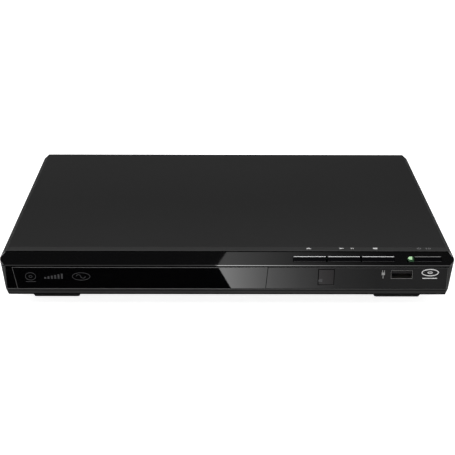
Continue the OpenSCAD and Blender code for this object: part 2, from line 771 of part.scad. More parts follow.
module disc_tray() {
    slot_front_y = disc_y - slot_w / 2;
    color("#3a3a3c") difference() {
        union() {
            box(tray_x0, tray_x1, tray_front_y, tray_rear_y, tray_low_z, tray_top_z);
            // arms that keep the tray in its rails when it is out
            box(tray_x0, tray_x0 + 7, tray_rear_y - 1, arm_rear_y, tray_low_z, tray_top_z);
            box(rack_x + 1, tray_x1, tray_rear_y - 1, arm_rear_y, tray_low_z, tray_top_z);
            // front flange that carries the door
            box(tray_x0 - 3, tray_x1 + 3, wall_y - 0.3, tray_front_y, opening[2] + 0.6, tray_top_z);
            for (x = [tray_x0 + 20, loader_x, tray_x1 - 20])
                along_x(x - 1, x + 1) polygon([
                    [tray_front_y, opening[2] + 0.6], [tray_front_y + 7, tray_low_z + eps],
                    [tray_front_y, tray_low_z + eps]
                ]);
            translate([rack_x, gear_y, tray_low_z - 3.2]) linear_extrude(3.2 + eps)
                rack_profile(-8, arm_rear_y - gear_y);
        }
        // recesses for a large and a small disc
        rod_z(loader_x, disc_y, disc_z, tray_top_z + 1, recess_r);
        rod_z(loader_x, disc_y, disc_z - 0.6, tray_top_z + 1, 40.7);
        // finger notches beside the disc
        for (s = [-1, 1]) rod_z(loader_x + s * (recess_r - 4), disc_y - 30, disc_z - 0.6, tray_top_z + 1, 13);
        // slot for turntable and pickup
        rod_z(loader_x, disc_y, tray_low_z - 1, tray_top_z + 1, slot_w / 2);
        box(loader_x - slot_w / 2, loader_x + slot_w / 2, disc_y, disc_y + recess_r + 7,
            tray_low_z - 1, tray_top_z + 1);
        // moulded hollows under the corners
        for (s = [-1, 1]) difference() {
            box(s > 0 ? loader_x + 10 : tray_x0 + 8, s > 0 ? rack_x - 4 : loader_x - 10,
                tray_front_y + 3, tray_rear_y - 3, tray_low_z - 1, tray_low_z + 1.6);
            rod_z(loader_x, disc_y, tray_low_z - 2, tray_low_z + 2, recess_r + 2);
        }
    }
}

// Gloss flap on the front of the tray, hollow behind with ribs
module tray_door() {
    color("#040404") difference() {
        intersection() {
            along_x(-hw, hw) polygon([
                [face_y, face_z], [face_low_y, face_low_z], [wall_y - 0.3, face_low_z], [wall_y - 0.3, face_z]
            ]);
            along_y(ridge_y - 1, wall_y) polygon([
                [door_left[0], face_z], [door_right[0], face_z], [door_right[1], face_low_z],
                [door_left[1], face_low_z]
            ]);
        }
        for (x0 = [door_left[1] + 1.5, loader_x + 1], i = [0:2]) {
            w = (door_right[1] - door_left[1] - 6) / 6;
            box(x0 + i * w, x0 + (i + 1) * w - 1.2, face_low_y + 0.3, wall_y, opening[3] - 0.2, face_z - 1.4);
        }
    }
}

// ---------------------------------------------------------------- loader

module loader_walls() {
    for (s = [-1, 1]) {
        x0 = s < 0 ? wall_x0 : wall_x1 - frame_wall;
        box(x0, x0 + frame_wall, frame_front_y, frame_rear_y, floor_z, frame_top_z);
        // horns that reach the tray's opening
        box(x0, x0 + frame_wall, wall_back_y + 1, frame_front_y, opening[2] + 1, frame_top_z);
        // rail under the tray
        box(s < 0 ? x0 : x0 - 2.2, s < 0 ? x0 + frame_wall + 4 : x0 + frame_wall,
            wall_back_y + 1, frame_rear_y, rail_z - 1.8, rail_z);
        // tabs over the tray's edge
        for (y = [frame_front_y + 3, disc_y + 50])
            box(s < 0 ? x0 : tray_x1 - 2, s < 0 ? tray_x0 + 2 : x0 + frame_wall, y, y + 10,
                tray_top_z + 0.3, frame_top_z);
    }
}

module hinge_lugs() {
    for (x = [[base_x0 - 6.5, base_x0 - 1], [base_x1 + 1, base_x1 + 6.5]])
        difference() {
            box(x[0], x[1], hinge_y - 5, frame_rear_y, floor_z, hinge_z + 4.5);
            rod_x(x[0] - 1, x[1] + 1, hinge_y, hinge_z, post_r + run_clear);
        }
}

module loader_frame() {
    well = [base_x0 - 3, base_x1 + 3, cam_y + 2.7];
    color("#26282a") {
        difference() {
            union() {
                box(wall_x0, wall_x1, frame_front_y, frame_rear_y, floor_z, deck_z);
                loader_walls();
                box(wall_x0, wall_x1, frame_rear_y - 2, frame_rear_y, floor_z, hinge_z + 1);
                for (p = frame_ears) translate([p[0], p[1], floor_z]) {
                    cylinder(r = 3.4, h = ear_top_z - floor_z);
                    translate([p[0] < loader_x ? 0 : -3.5, -3.4, 0]) cube([3.5, 6.8, ear_top_z - floor_z]);
                }
            }
            box(well[0], well[1], well[2], frame_rear_y - 2, floor_z - 1, deck_z + 1);
            for (p = frame_ears) rod_z(p[0], p[1], floor_z - 1, ear_top_z + 1, screw_free_r);
            for (s = [-1, 1], y = bridge_screw_ys)
                rod_x(s < 0 ? wall_x0 - 1 : wall_x1 - 5, s < 0 ? wall_x0 + 5 : wall_x1 + 1, y,
                    bridge_screw_z, 1);
            // slot for the flat cable
            box(wall_x1 - frame_wall - 1, wall_x1 + 1, ffc_y - 10, ffc_y + 10, cable_z - 0.6, cable_z + 1);
        }
        hinge_lugs();
        // posts of the two gears
        rod_z(tray_gear_x, gear_y, deck_z, tray_gear_z0 - 0.1, post_r + 1);
        rod_z(tray_gear_x, gear_y, deck_z, gear_top_z, post_r);
        rod_z(pulley_x, gear_y, deck_z, pulley_z - 0.1, post_r + 1.5);
        rod_z(pulley_x, gear_y, deck_z, pinion_top_z, post_r);
        // seat of the loading motor
        difference() {
            union() {
                box(motor_x - 14, motor_x + 14, gear_y - 14, gear_y + 13, mount_z, mount_z + mount_t);
                for (x = [motor_x - 12.5, motor_x + 12.5], y = [gear_y - 12, gear_y + 11])
                    rod_z(x, y, deck_z, mount_z, 1.5);
            }
            rod_z(motor_x, gear_y, mount_z - 1, mount_z + 3, 3.2);
        }
        // guides of the cam slider
        for (x = [cam_x0 + cam_travel + 0.5, cam_x1 - 6]) {
            box(x - 2, x + 2, cam_y - 8, cam_y - 6.4, deck_z, deck_z + 2.6);
            box(x - 2, x + 2, cam_y - 8, cam_y - 4.4, deck_z + 1.6, deck_z + 2.6);
        }
    }
}

bridge_ys = [disc_y - 22, disc_y + 22];
bridge_screw_ys = [disc_y - 16, disc_y + 16];
bridge_screw_z = frame_top_z - 3;

module clamper_bridge() {
    color("#b4b7ba") difference() {
        union() {
            box(wall_x0 - bridge_t, wall_x1 + bridge_t, bridge_ys[0], bridge_ys[1],
                bridge_z, bridge_z + bridge_t);
            for (x = [wall_x0 - bridge_t, wall_x1])
                box(x, x + bridge_t, bridge_ys[0], bridge_ys[1], frame_top_z - 7, bridge_z + bridge_t);
            for (x = [wall_x0, wall_x1 - 1.2])
                box(x, x + 1.2, bridge_ys[0] + 4, bridge_ys[1] - 4, frame_top_z, bridge_z);
        }
        rod_z(loader_x, disc_y, bridge_z - 1, bridge_z + 4, clamp_hole_r);
        for (s = [-1, 1], y = bridge_screw_ys)
            rod_x(s < 0 ? wall_x0 - 3 : wall_x1 - 1, s < 0 ? wall_x0 + 1 : wall_x1 + 3, y,
                bridge_screw_z, 1.3);
        for (s = [-1, 1]) box(loader_x + s * 45 - 12, loader_x + s * 45 + 12, disc_y - 10, disc_y + 10,
            bridge_z - 1, bridge_z + 3);
    }
}

module clamper_puck() {
    color("#e6e6e2") difference() {
        union() {
            rod_z(loader_x, disc_y, clamp_z, clamp_z + 1.2, clamp_r);
            rod_z(loader_x, disc_y, tray_top_z + 1.4, clamp_z + eps, clamp_hole_r - 1.2);
        }
        rod_z(loader_x, disc_y, tray_top_z, cone_top_z + 1.4, cone_r + 0.8);
    }
}

module clamper_yoke() {
    color("#8f9296") rod_z(loader_x, disc_y, clamp_z + 1.2, clamp_z + 2, 10);
}

module loading_motor() {
    color("#a8abad") {
        rod_z(motor_x, gear_y, mount_z + mount_t, gear_top_z, 11);
        rod_z(motor_x, gear_y, mount_z - 0.1, mount_z + mount_t, 3);
    }
}

// Pulley on the motor's shaft; the shaft turns with it
module motor_pulley() {
    color("#d8c060") difference() {
        union() {
            rod_z(motor_x, gear_y, pulley_z, pulley_z + 0.6, motor_pulley_r + 0.9);
            rod_z(motor_x, gear_y, pulley_z, pulley_z + 2.4, motor_pulley_r);
            rod_z(motor_x, gear_y, pulley_z + 1.9, pulley_z + 2.4, motor_pulley_r + 0.9);
        }
        rod_z(motor_x, gear_y, pulley_z - 1, pulley_z + 1, 0.8);
    }
}

// Points of a loop round both pulley shafts, with arcs of the two radii joined by their tangents
function loop_points(r1, r2) =
    let(a = asin((r2 - r1) / belt_span), n = 24)
    concat(
        [for (i = [0:n]) let(t = 90 + a + (180 - 2 * a) * i / n) r1 * [cos(t), sin(t)]],
        [for (i = [0:n]) let(t = -90 - a + (180 + 2 * a) * i / n) [belt_span, 0] + r2 * [cos(t), sin(t)]]
    );

module drive_belt() {
    free = 0.1;
    r1 = motor_pulley_r + free;
    r2 = pulley_r + free;
    color("#0d0d0d") translate([motor_x, gear_y, belt_z]) linear_extrude(belt_t - 0.2) difference() {
        polygon(loop_points(r1 + belt_t, r2 + belt_t));
        polygon(loop_points(r1, r2));
    }
}

// Angle between a tooth's centre line and its flank at radius r
function flank(r, z) =
    let(rb = gear_m * z / 2 * cos(20), a = r > rb ? acos(rb / r) : 0)
    90 / z - backlash / 2 / (gear_m * z) * 180 / PI + (tan(20) * 180 / PI - 20) - (tan(a) * 180 / PI - a);

// Polar points of one gear outline: radius and angle, tooth by tooth
function gear_points(z, r_root, rs) = [for (i = [0:z - 1])
    let(c = 360 * i / z, n = len(rs) - 1)
    each concat(
        [[r_root, c - flank(rs[0], z)]], [for (r = rs) [r, c - flank(r, z)]],
        [for (k = [0:n]) [rs[n - k], c + flank(rs[n - k], z)]], [[r_root, c + flank(rs[0], z)]])];

// Involute gear with a tooth centred on the +X axis
module gear_profile(z) {
    r_tip = gear_m * (z / 2 + 0.8);
    r_root = gear_m * (z / 2 - 1.1);
    low = max(gear_m * z / 2 * cos(20), r_root + 0.05);
    steps = 4;
    rs = [for (k = [0:steps]) low + (r_tip - low) * k / steps];
    polygon([for (p = gear_points(z, r_root, rs)) [p[0] * cos(p[1]), p[0] * sin(p[1])]]);
}

module pulley_gear() {
    color("#f0ede4") translate([pulley_x, gear_y, 0]) difference() {
        union() {
            translate([0, 0, pulley_z]) cylinder(r = pulley_r + 1, h = 0.6);
            translate([0, 0, pulley_z]) cylinder(r = pulley_r, h = pulley_h);
            translate([0, 0, pulley_z + 2.2]) cylinder(r = pulley_r + 1, h = 0.6);
            translate([0, 0, pulley_z + pulley_h - eps])
                cylinder(r = pinion_r - 1.1 * gear_m, h = pinion_top_z - 1 - pulley_z - pulley_h);
            translate([0, 0, tray_gear_z0 + 0.2]) linear_extrude(pinion_top_z - tray_gear_z0 - 0.4)
                rotate([0, 0, 180 / pinion_z]) gear_profile(pinion_z);
        }
        translate([0, 0, pulley_z - 1]) cylinder(r = post_r + run_clear, h = 20);
    }
}

module tray_gear() {
    color("#f0ede4") translate([tray_gear_x, gear_y, tray_gear_z0]) difference() {
        linear_extrude(gear_top_z - tray_gear_z0) gear_profile(tray_gear_z);
        translate([0, 0, -1]) cylinder(r = post_r + run_clear, h = 20);
        translate([0, 0, 5]) difference() {
            cylinder(r = tray_gear_r - 3, h = 5);
            cylinder(r = post_r + 1.6, h = 5);
        }
    }
}

// Slider whose slanted slot lifts the front of the drive's base
cam_x0 = loader_x - cam_travel - 6;
cam_x1 = loader_x + 26;
cam_slot_r = pin_r + 0.35;

module cam_slider() {
    rise = pin_z - pin_low_z;
    color("#dcdcd6") {
        difference() {
            box(cam_x0, cam_x1, cam_y, cam_y + cam_t, deck_z + 0.15, tray_low_z - 0.4);
            translate([loader_x, 0, pin_low_z]) {
                rod_y(0, cam_y - 1, cam_y + cam_t + 1, 0, cam_slot_r);
                rod_y(-cam_travel, cam_y - 1, cam_y + cam_t + 1, rise, cam_slot_r);
                rotate([0, atan2(rise, cam_travel), 0])
                    box(-norm([rise, cam_travel]), 0, cam_y - 1, cam_y + cam_t + 1, -cam_slot_r, cam_slot_r);
            }
        }
        box(cam_x0, cam_x1, cam_y - 6, cam_y + eps, deck_z + 0.15, deck_z + 1.4);
    }
}

// ---------------------------------------------------------------- disc drive

// Swings the drive from its raised, level position down to its rest position
module lowered() {
    translate([0, hinge_y, hinge_z]) rotate([lift_angle, 0, 0]) translate([0, -hinge_y, -hinge_z]) children();
}

module traverse_base() {
    motor_bay = [screw_x - 6.3, screw_x + 6.3, well_rear_y + 3.2];
    color("#c3c6c8") lowered() {
        difference() {
            union() {
                box(base_x0, base_x1, base_front_y, hinge_y + 1, base_z, base_z + base_t);
                for (x = [[base_x0, base_x0 + 6], [base_x1 - 6, base_x1]])
                    rod_x(x[0], x[1], hinge_y, hinge_z, 3);
                for (x = [[base_x0 - 5.5, base_x0 + 1], [base_x1 - 1, base_x1 + 5.5]])
                    rod_x(x[0], x[1], hinge_y, hinge_z, post_r);
                // lugs that hold the guide rods
                for (s = [-1, 1], y = [well_front_y - 2.5, well_rear_y])
                    box(loader_x + s * rod_x - 3, loader_x + s * rod_x + 3, y, y + 2.5,
                        rod_z - 2.6, base_z + base_t);
                // bearing and motor plate of the lead screw
                box(screw_x - 2.8, screw_x + 2.8, well_front_y - 2.5, well_front_y,
                    screw_z - 2.4, base_z + base_t);
                box(screw_x - 6.3, screw_x + 6.3, well_rear_y + 2, well_rear_y + 3.2,
                    screw_z - 5.8, base_z + base_t);
                // front wall that carries the cam pin
                box(loader_x - 5, loader_x + 5, base_front_y, base_front_y + 1.5, base_z, pin_z + 1.6);
                rod_y(loader_x, cam_y - 0.3, base_front_y + eps, pin_z, pin_r);
            }
            box(loader_x - rod_x - 3.5, loader_x + rod_x + 3.5, well_front_y, well_rear_y,
                base_z - 8, base_z + 4);
            box(motor_bay[0], motor_bay[1], motor_bay[2], hinge_y + 3, base_z - 8, base_z + 4);
            for (s = [-1, 1]) rod_y(loader_x + s * rod_x, well_front_y - 4, well_rear_y + 4, rod_z, rod_r);
            rod_y(screw_x, well_front_y - 2, well_rear_y + 5, screw_z, 1 + run_clear);
            rod_z(loader_x, disc_y, base_z - 1, base_z + 4, platter_r - 2);
        }
    }
}

module spindle_motor() {
    color("#9b9ea1") lowered() difference() {
        union() {
            rounded_plate(loader_x - 15, loader_x + 15, disc_y - 15, well_front_y - 2.6,
                base_z - 1, base_z, 2);
            rod_z(loader_x, disc_y, base_z - 2, tray_low_z - 2.4, 3);
            rod_z(loader_x, disc_y, base_z, tray_low_z - 0.4, 9.2);
        }
        rod_z(loader_x, disc_y, base_z - 1, tray_low_z + 1, 1.5 + run_clear);
    }
}

module spindle_rotor() {
    color("#caccce") lowered() {
        difference() {
            rod_z(loader_x, disc_y, base_z + 1.9, platter_z - 2, platter_r - 3);
            rod_z(loader_x, disc_y, base_z + 1, tray_low_z, platter_r - 3.8);
        }
        rod_z(loader_x, disc_y, base_z - 0.6, platter_z - 1, 1.5);
    }
}

module turntable() {
    color("#1a1a1a") lowered() difference() {
        union() {
            rod_z(loader_x, disc_y, platter_z - 2, platter_z, platter_r);
            translate([loader_x, disc_y, platter_z - eps]) cylinder(r = cone_r, h = 1.4);
            translate([loader_x, disc_y, platter_z + 1.4 - 2 * eps])
                cylinder(r1 = cone_r, r2 = cone_r - 2, h = cone_top_z - platter_z - 1.4);
        }
        rod_z(loader_x, disc_y, platter_z - 3, platter_z - 1, 1.5);
    }
}

module turntable_mat() {
    color("#303030") lowered() difference() {
        rod_z(loader_x, disc_y, platter_z, platter_z + mat_t, platter_r - 0.5);
        rod_z(loader_x, disc_y, platter_z - 1, platter_z + 1, cone_r + 1.6);
    }
}

module guide_rods() {
    color("#e2e4e6") lowered() for (s = [-1, 1])
        rod_y(loader_x + s * rod_x, well_front_y - 2.5, well_rear_y + 2.5, rod_z, rod_r);
}

module pickup_sled() {
    body_x0 = screw_x + screw_r + 1.5;
    body_x1 = loader_x + rod_x - 3.4;
    color("#6f7377") lowered() difference() {
        union() {
            box(body_x0, body_x1, sled_front_y, sled_rear_y, tray_low_z - 7.6, tray_low_z - 1.6);
            for (s = [-1, 1], y = [sled_front_y, sled_rear_y - 5])
                rod_y(loader_x + s * rod_x, y, y + 5, rod_z, rod_r + 1.5);
            for (y = [sled_front_y, sled_rear_y - 5])
                box(loader_x - rod_x, loader_x + rod_x, y, y + 5, rod_z + 1.2, rod_z + rod_r + 1.5);
            // finger in the lead screw
            box(screw_x + screw_r + 0.1, body_x0 + 1, lens_y + 2, lens_y + 5, screw_z - 1, screw_z + 1);
            // lens actuator
            box(loader_x - 8, loader_x + 8, lens_y - 6, lens_y + 7, tray_low_z - 2, tray_low_z + 0.6);
        }
        for (s = [-1, 1])
            rod_y(loader_x + s * rod_x, sled_front_y - 1, sled_rear_y + 1, rod_z, rod_r + run_clear);
        rod_z(loader_x, lens_y, tray_low_z - 1, tray_low_z + 2, 2.4);
    }
}

module objective_lens() {
    color("#9fc4e8") lowered() intersection() {
        rod_z(loader_x, lens_y, tray_low_z - 1, tray_low_z + 1.6, 2.4);
        translate([loader_x, lens_y, tray_low_z - 3]) sphere(r = 4.3);
    }
}

module sled_motor() {
    color("#b0b3b6") lowered()
        rod_y(screw_x, well_rear_y + 3.2, hinge_y + 2.6, screw_z, 5.4);
}

// Lead screw, turned with rings of its thread's depth
module sled_screw() {
    thread = 1.5;
    n = floor((well_rear_y - well_front_y - 2) / thread);
    color("#d9b25a") lowered() {
        rod_y(screw_x, well_front_y - 1.9, well_rear_y + 3.2, screw_z, 1);
        for (i = [0:n - 1]) rod_y(screw_x, well_front_y + 1 + i * thread, well_front_y + 1.7 + i * thread,
            screw_z, screw_r);
    }
}

// ---------------------------------------------------------------- electronics

module main_board() {
    color("#2d6e3d") difference() {
        box(main_x0, main_x0 + main_w, main_y0, main_y1, board_z, pcb_top);
        for (p = main_holes) rod_z(p[0], p[1], board_z - 1, pcb_top + 1, screw_free_r);
    }
}

chip_x = main_x0 + 38;
chip_y = main_y0 + 30;

module main_chips() {
    color("#18191b") {
        box(chip_x - 10, chip_x + 10, chip_y - 10, chip_y + 10, pcb_top, pcb_top + 1.6);
        box(chip_x + 16, chip_x + 28, chip_y - 4, chip_y + 18, pcb_top, pcb_top + 1.2);
        box(chip_x - 28, chip_x - 18, chip_y - 6, chip_y + 6, pcb_top, pcb_top + 1.6);
        for (i = [0:2], x = [chip_x + i * 12])
            box(x + 10, x + 17, chip_y + 26, chip_y + 31, pcb_top, pcb_top + 1.5);
    }
}

module main_heatsink() {
    color("#c9ccce") {
        box(chip_x - 9, chip_x + 9, chip_y - 9, chip_y + 9, pcb_top + 1.6, pcb_top + 3);
        for (i = [0:6], x = [chip_x - 9 + i * 2.8])
            box(x, x + 1.2, chip_y - 9, chip_y + 9, pcb_top + 2.9, pcb_top + 9);
    }
}

module board_capacitors() {
    color("#2b3f7a") for (p = [[12, 8], [22, 8], [60, 8], [70, 8], [84, 12], [84, 24], [14, 40], [92, 34]])
        translate([main_x0 + p[0], main_y0 + p[1] + 6, pcb_top]) cylinder(r = 2.6, h = 7);
}

ffc_y = main_y0 + 20;
harness_y = power_y0 + 2;
cable_z = pcb_top + 4.2;
key_header_x = main_x0 + main_w - 23;
header_l = 10;

module cable_headers() {
    color("#eceadf") {
        box(main_x0 + 1, main_x0 + 5, ffc_y - 11, ffc_y + 11, pcb_top, pcb_top + 4);
        box(rack_x + 3.2, rack_x + 6.4, ffc_y - 11, ffc_y + 11, deck_z, deck_z + 3);
        box(main_x0 + 8, main_x0 + 12, harness_y - 7, harness_y + 7, pcb_top, pcb_top + 5);
        box(power_x0 + power_w - 12, power_x0 + power_w - 8, harness_y - 1, harness_y + 7,
            pcb_top, pcb_top + 5);
        box(key_header_x, key_header_x + header_l, main_y0 + 1, main_y0 + 5, pcb_top, pcb_top + 5);
        box(key_header_x, key_header_x + header_l, front_board_y + board_t, front_board_y + board_t + 4,
            front_board[2] + 2, front_board[2] + 7);
    }
}

// Flat flexible cable from the main board through the loader's side wall and down to its deck
module flat_cables() {
    t = 0.3;
    color("#e9e9e9") {
        box(rack_x + 4.5, main_x0 + 3, ffc_y - 9, ffc_y + 9, cable_z, cable_z + t);
        box(rack_x + 4.5, rack_x + 4.5 + t, ffc_y - 9, ffc_y + 9, deck_z + 3, cable_z + t);
        box(main_x0 + 3 - t, main_x0 + 3, ffc_y - 9, ffc_y + 9, pcb_top + 4, cable_z + t);
    }
}

// Supply wires to the main board and key wires to the front board
module wire_harness() {
    x0 = power_x0 + power_w - 10;
    x1 = main_x0 + 10;
    z0 = pcb_top + 5;
    color("#b03030") for (i = [0:3]) {
        y = harness_y + i * 1.6;
        box(x0 - 0.5, x0 + 0.5, y, y + 1, z0, z0 + 6);
        box(x0 - 0.5, x1 + 0.5, y, y + 1, z0 + 5, z0 + 6);
        box(x1 - 0.5, x1 + 0.5, y, y + 1, z0, z0 + 6);
    }
    y1 = front_board_y + board_t + 4;
    color("#d8d8d8") for (i = [0:4]) {
        x = key_header_x + 1 + i * 1.7;
        box(x, x + 1, y1, main_y0 + 3, front_board[2] + 4, front_board[2] + 5);
        box(x, x + 1, main_y0 + 2, main_y0 + 3, front_board[2] + 4.5, pcb_top + 5);
    }
}

module scart_socket() {
    w = scart_w / 2;
    h = scart_h / 2;
    z = scart_z;
    color("#17181a") difference() {
        union() {
            box(scart_x - w, scart_x + w, panel_y - 8, rear_y + 3, z - h, z + h);
            box(scart_x - w - 1, scart_x + w + 1, panel_y - 15, panel_y, pcb_top, z + h + 0.6);
        }
        difference() {
            box(scart_x - w + 1.2, scart_x + w - 1.2, rear_y - 6, rear_y + 4, z - h + 1.2, z + h - 1.2);
            box(scart_x - w + 3.6, scart_x + w - 3.6, rear_y - 7, rear_y + 1.5, z - h + 4, z + h - 4);
        }
        box(scart_x - w + 4.6, scart_x + w - 4.6, rear_y - 5, rear_y + 2, z - 1, z + 1);
    }
}

// Phono socket: moulded block and collar, with a metal barrel that a plug's shell fits over
module phono_jack(i, tint) {
    x = jack_xs[i];
    color(tint) difference() {
        union() {
            box(x - 5.4, x + 5.4, panel_y - 11, panel_y, pcb_top, jack_z + 6);
            rod_y(x, panel_y - 1, rear_y + 1.2, jack_z, jack_body_r);
        }
        rod_y(x, panel_y - 3, rear_y + 6, jack_z, jack_r);
    }
    color("#c9ccd0") difference() {
        rod_y(x, panel_y - 3, rear_y + jack_reach, jack_z, jack_r);
        // a rim round the insulator, and the hole for the plug's pin
        rod_y(x, rear_y + jack_reach - 1.2, rear_y + jack_reach + 1, jack_z, jack_r - 0.9);
        rod_y(x, panel_y - 1, rear_y + jack_reach + 1, jack_z, jack_hole_r);
    }
}

module coax_jack() { phono_jack(0, "#d0742a"); }
module video_jack() { phono_jack(1, "#d8c020"); }
module audio_jack_left() { phono_jack(2, "#e8e8e8"); }
module audio_jack_right() { phono_jack(3, "#b82020"); }

module power_board() {
    color("#a98a52") difference() {
        box(power_x0, power_x0 + power_w, power_y0, power_y1, board_z, pcb_top);
        for (p = power_holes) rod_z(p[0], p[1], board_z - 1, pcb_top + 1, screw_free_r);
    }
}

module transformer() {
    x = power_x0 + 76;
    y = (power_y0 + power_y1) / 2 + 1;
    color("#c9a24a") box(x - 8, x + 8, y - 7, y + 7, pcb_top + 2, pcb_top + 14);
    color("#3a3a3a") for (s = [-1, 1])
        box(x - 9.5, x + 9.5, y + s * 8 - 2, y + s * 8 + 2, pcb_top, pcb_top + 16);
}

module power_capacitors() {
    color("#1f2330") {
        rod_z(power_x0 + 54, power_y0 + 14, pcb_top, pcb_top + 15, 7);
        for (i = [0:1]) rod_z(power_x0 + 95 + i * 9, power_y0 + 18, pcb_top, pcb_top + 11, 3.8);
    }
}

module fuse() {
    x = power_x0 + 29;
    color("#d8dde0") rod_x(x, x + 18, power_y0 + 15, pcb_top + 4, 2.5);
    color("#c0c3c6") for (dx = [0, 13.5])
        box(x + dx, x + dx + 4.5, power_y0 + 12.5, power_y0 + 17.5, pcb_top, pcb_top + 3);
}

// Two-pin mains inlet with a figure-eight well
module mains_inlet() {
    w = inlet_w / 2;
    z = inlet_z;
    pin_dx = 4.3;
    well = 12;
    color("#151515") difference() {
        union() {
            box(inlet_x - w, inlet_x + w, panel_y - 16, rear_y, pcb_top, pcb_top + inlet_h);
            box(inlet_x - w - inlet_flange, inlet_x + w + inlet_flange, rear_y, rear_y + 1.5,
                z - inlet_h / 2 - 1.2, z + inlet_h / 2 + 1.2);
        }
        for (s = [-1, 1]) rod_y(inlet_x + s * pin_dx, rear_y - well, rear_y + 2, z, 4);
        box(inlet_x - pin_dx, inlet_x + pin_dx, rear_y - well, rear_y + 2, z - 3.6, z + 3.6);
    }
    color("#d0d2d4") for (s = [-1, 1]) rod_y(inlet_x + s * pin_dx, rear_y - well - eps, rear_y - 2, z, 1.2);
}

module board_screws() {
    color("#c8cacc") {
        for (p = concat(main_holes, power_holes))
            translate([p[0], p[1], pcb_top]) screw(2.6, 1.5, screw_r3, 5.5);
        for (p = frame_ears) translate([p[0], p[1], ear_top_z]) screw(3, 1.6, screw_r3, 3.4);
        for (s = [-1, 1], y = bridge_screw_ys)
            translate([s < 0 ? wall_x0 - bridge_t : wall_x1 + bridge_t, y, bridge_screw_z])
                rotate([0, s * 90, 0]) screw(2, 1.2, 1, 3);
        for (x = boss_xs) translate([x, front_board_y + board_t, boss_z]) rotate([-90, 0, 0])
            screw(2, 1.2, 1, 5);
    }
}

top_cover();
bottom_chassis();
rear_panel();
feet();
foot_pads();
case_screws();
front_bezel();
upper_band();
lower_panel();
left_trim();
ir_window();
power_lens();
key_open();
key_play();
key_stop();
key_power();
front_board();
tact_switches();
ir_receiver();
usb_socket();
disc_tray();
tray_door();
loader_frame();
clamper_bridge();
clamper_puck();
clamper_yoke();
loading_motor();
motor_pulley();
drive_belt();
pulley_gear();
tray_gear();
cam_slider();
traverse_base();
spindle_motor();
spindle_rotor();
turntable();
turntable_mat();
guide_rods();
pickup_sled();
objective_lens();
sled_motor();
sled_screw();
main_board();
main_chips();
main_heatsink();
board_capacitors();
cable_headers();
scart_socket();
coax_jack();
video_jack();
audio_jack_left();
audio_jack_right();
power_board();
transformer();
power_capacitors();
fuse();
mains_inlet();
flat_cables();
wire_harness();
board_screws();
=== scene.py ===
"""A slim disc player with a front-loading tray. Metres, +Z up, front to -Y, origin on the table."""
import math

import bmesh
import bpy
from mathutils import Euler, Matrix, Vector


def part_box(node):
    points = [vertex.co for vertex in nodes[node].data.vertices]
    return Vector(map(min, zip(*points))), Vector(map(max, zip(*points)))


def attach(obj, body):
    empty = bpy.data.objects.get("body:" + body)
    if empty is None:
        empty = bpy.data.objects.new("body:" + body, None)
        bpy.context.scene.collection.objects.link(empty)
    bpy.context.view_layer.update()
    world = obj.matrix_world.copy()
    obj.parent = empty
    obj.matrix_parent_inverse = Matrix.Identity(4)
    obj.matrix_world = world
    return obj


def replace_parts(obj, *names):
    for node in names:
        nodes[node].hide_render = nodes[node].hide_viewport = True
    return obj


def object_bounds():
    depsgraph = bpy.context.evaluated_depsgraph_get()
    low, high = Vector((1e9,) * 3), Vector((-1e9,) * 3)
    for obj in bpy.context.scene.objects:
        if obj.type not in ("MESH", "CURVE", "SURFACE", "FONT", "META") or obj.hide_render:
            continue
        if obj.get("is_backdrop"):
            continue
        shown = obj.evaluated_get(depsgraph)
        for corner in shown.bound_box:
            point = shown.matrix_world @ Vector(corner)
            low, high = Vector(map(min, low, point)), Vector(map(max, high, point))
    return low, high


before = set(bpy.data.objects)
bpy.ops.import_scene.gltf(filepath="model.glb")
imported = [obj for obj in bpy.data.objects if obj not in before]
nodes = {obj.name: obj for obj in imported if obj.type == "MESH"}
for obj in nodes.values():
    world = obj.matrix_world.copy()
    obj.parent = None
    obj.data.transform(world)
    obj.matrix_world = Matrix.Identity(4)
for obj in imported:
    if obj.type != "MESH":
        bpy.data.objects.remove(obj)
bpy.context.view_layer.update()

MM = 0.001


# Camera: it stands in front of the player, under a metre away, and looks down on the cover at
# about twenty degrees, so that the front face and the whole top show.
camera_at = Vector((-0.00476, -0.77991, 0.30517))
camera_lens = 97.44
tilt, turn, roll = (math.radians(angle) for angle in (69.617, -0.404, 0.228))
camera = bpy.data.objects.new("camera", bpy.data.cameras.new("camera"))
camera.data.lens = camera_lens
camera.location = camera_at
camera.rotation_euler = (Euler((tilt, 0, turn)).to_matrix()
                         @ Matrix.Rotation(roll, 3, "Z")).to_euler()
bpy.context.collection.objects.link(camera)
bpy.context.scene.camera = camera


# Bottom pan: a folded tray of galvanised steel sheet with louvres, which carries everything.
# It is pressed from one sheet, and its zinc shows faint grey crystals.
def feed(tree, inputs, sources):
    """Gives each named input a link where its source is a socket, and else a value."""
    for key, source in sources.items():
        if isinstance(source, bpy.types.NodeSocket):
            tree.links.new(source, inputs[key])
        else:
            inputs[key].default_value = source


def add_node(tree, kind, sources=None, **settings):
    """One shader node with its settings and what feeds it."""
    node = tree.nodes.new("ShaderNode" + kind)
    for name, value in settings.items():
        setattr(node, name, value)
    feed(tree, node.inputs, sources or {})
    return node


def reckoned(tree, operation, first, second, **settings):
    """One sum of two numbers, each a socket or a value."""
    return add_node(tree, "Math", {0: first, 1: second}, operation=operation, **settings).outputs[0]


def mixed(tree, share, first, second, kind="FLOAT"):
    """Two numbers or two colours, mixed by the share of the second."""
    at, out = {"FLOAT": (2, 0), "RGBA": (6, 2)}[kind]
    node = add_node(tree, "Mix", {0: share, at: first, at + 1: second}, data_type=kind)
    return node.outputs[out]


def own_place(tree):
    """The place on the piece itself, in metres."""
    return add_node(tree, "TexCoord").outputs["Object"]


def cloudy(tree, place, scale, detail, distortion=0.0):
    """Soft noise by place."""
    return add_node(tree, "TexNoise", {"Vector": place, "Scale": scale, "Detail": detail,
                                       "Distortion": distortion}).outputs["Fac"]


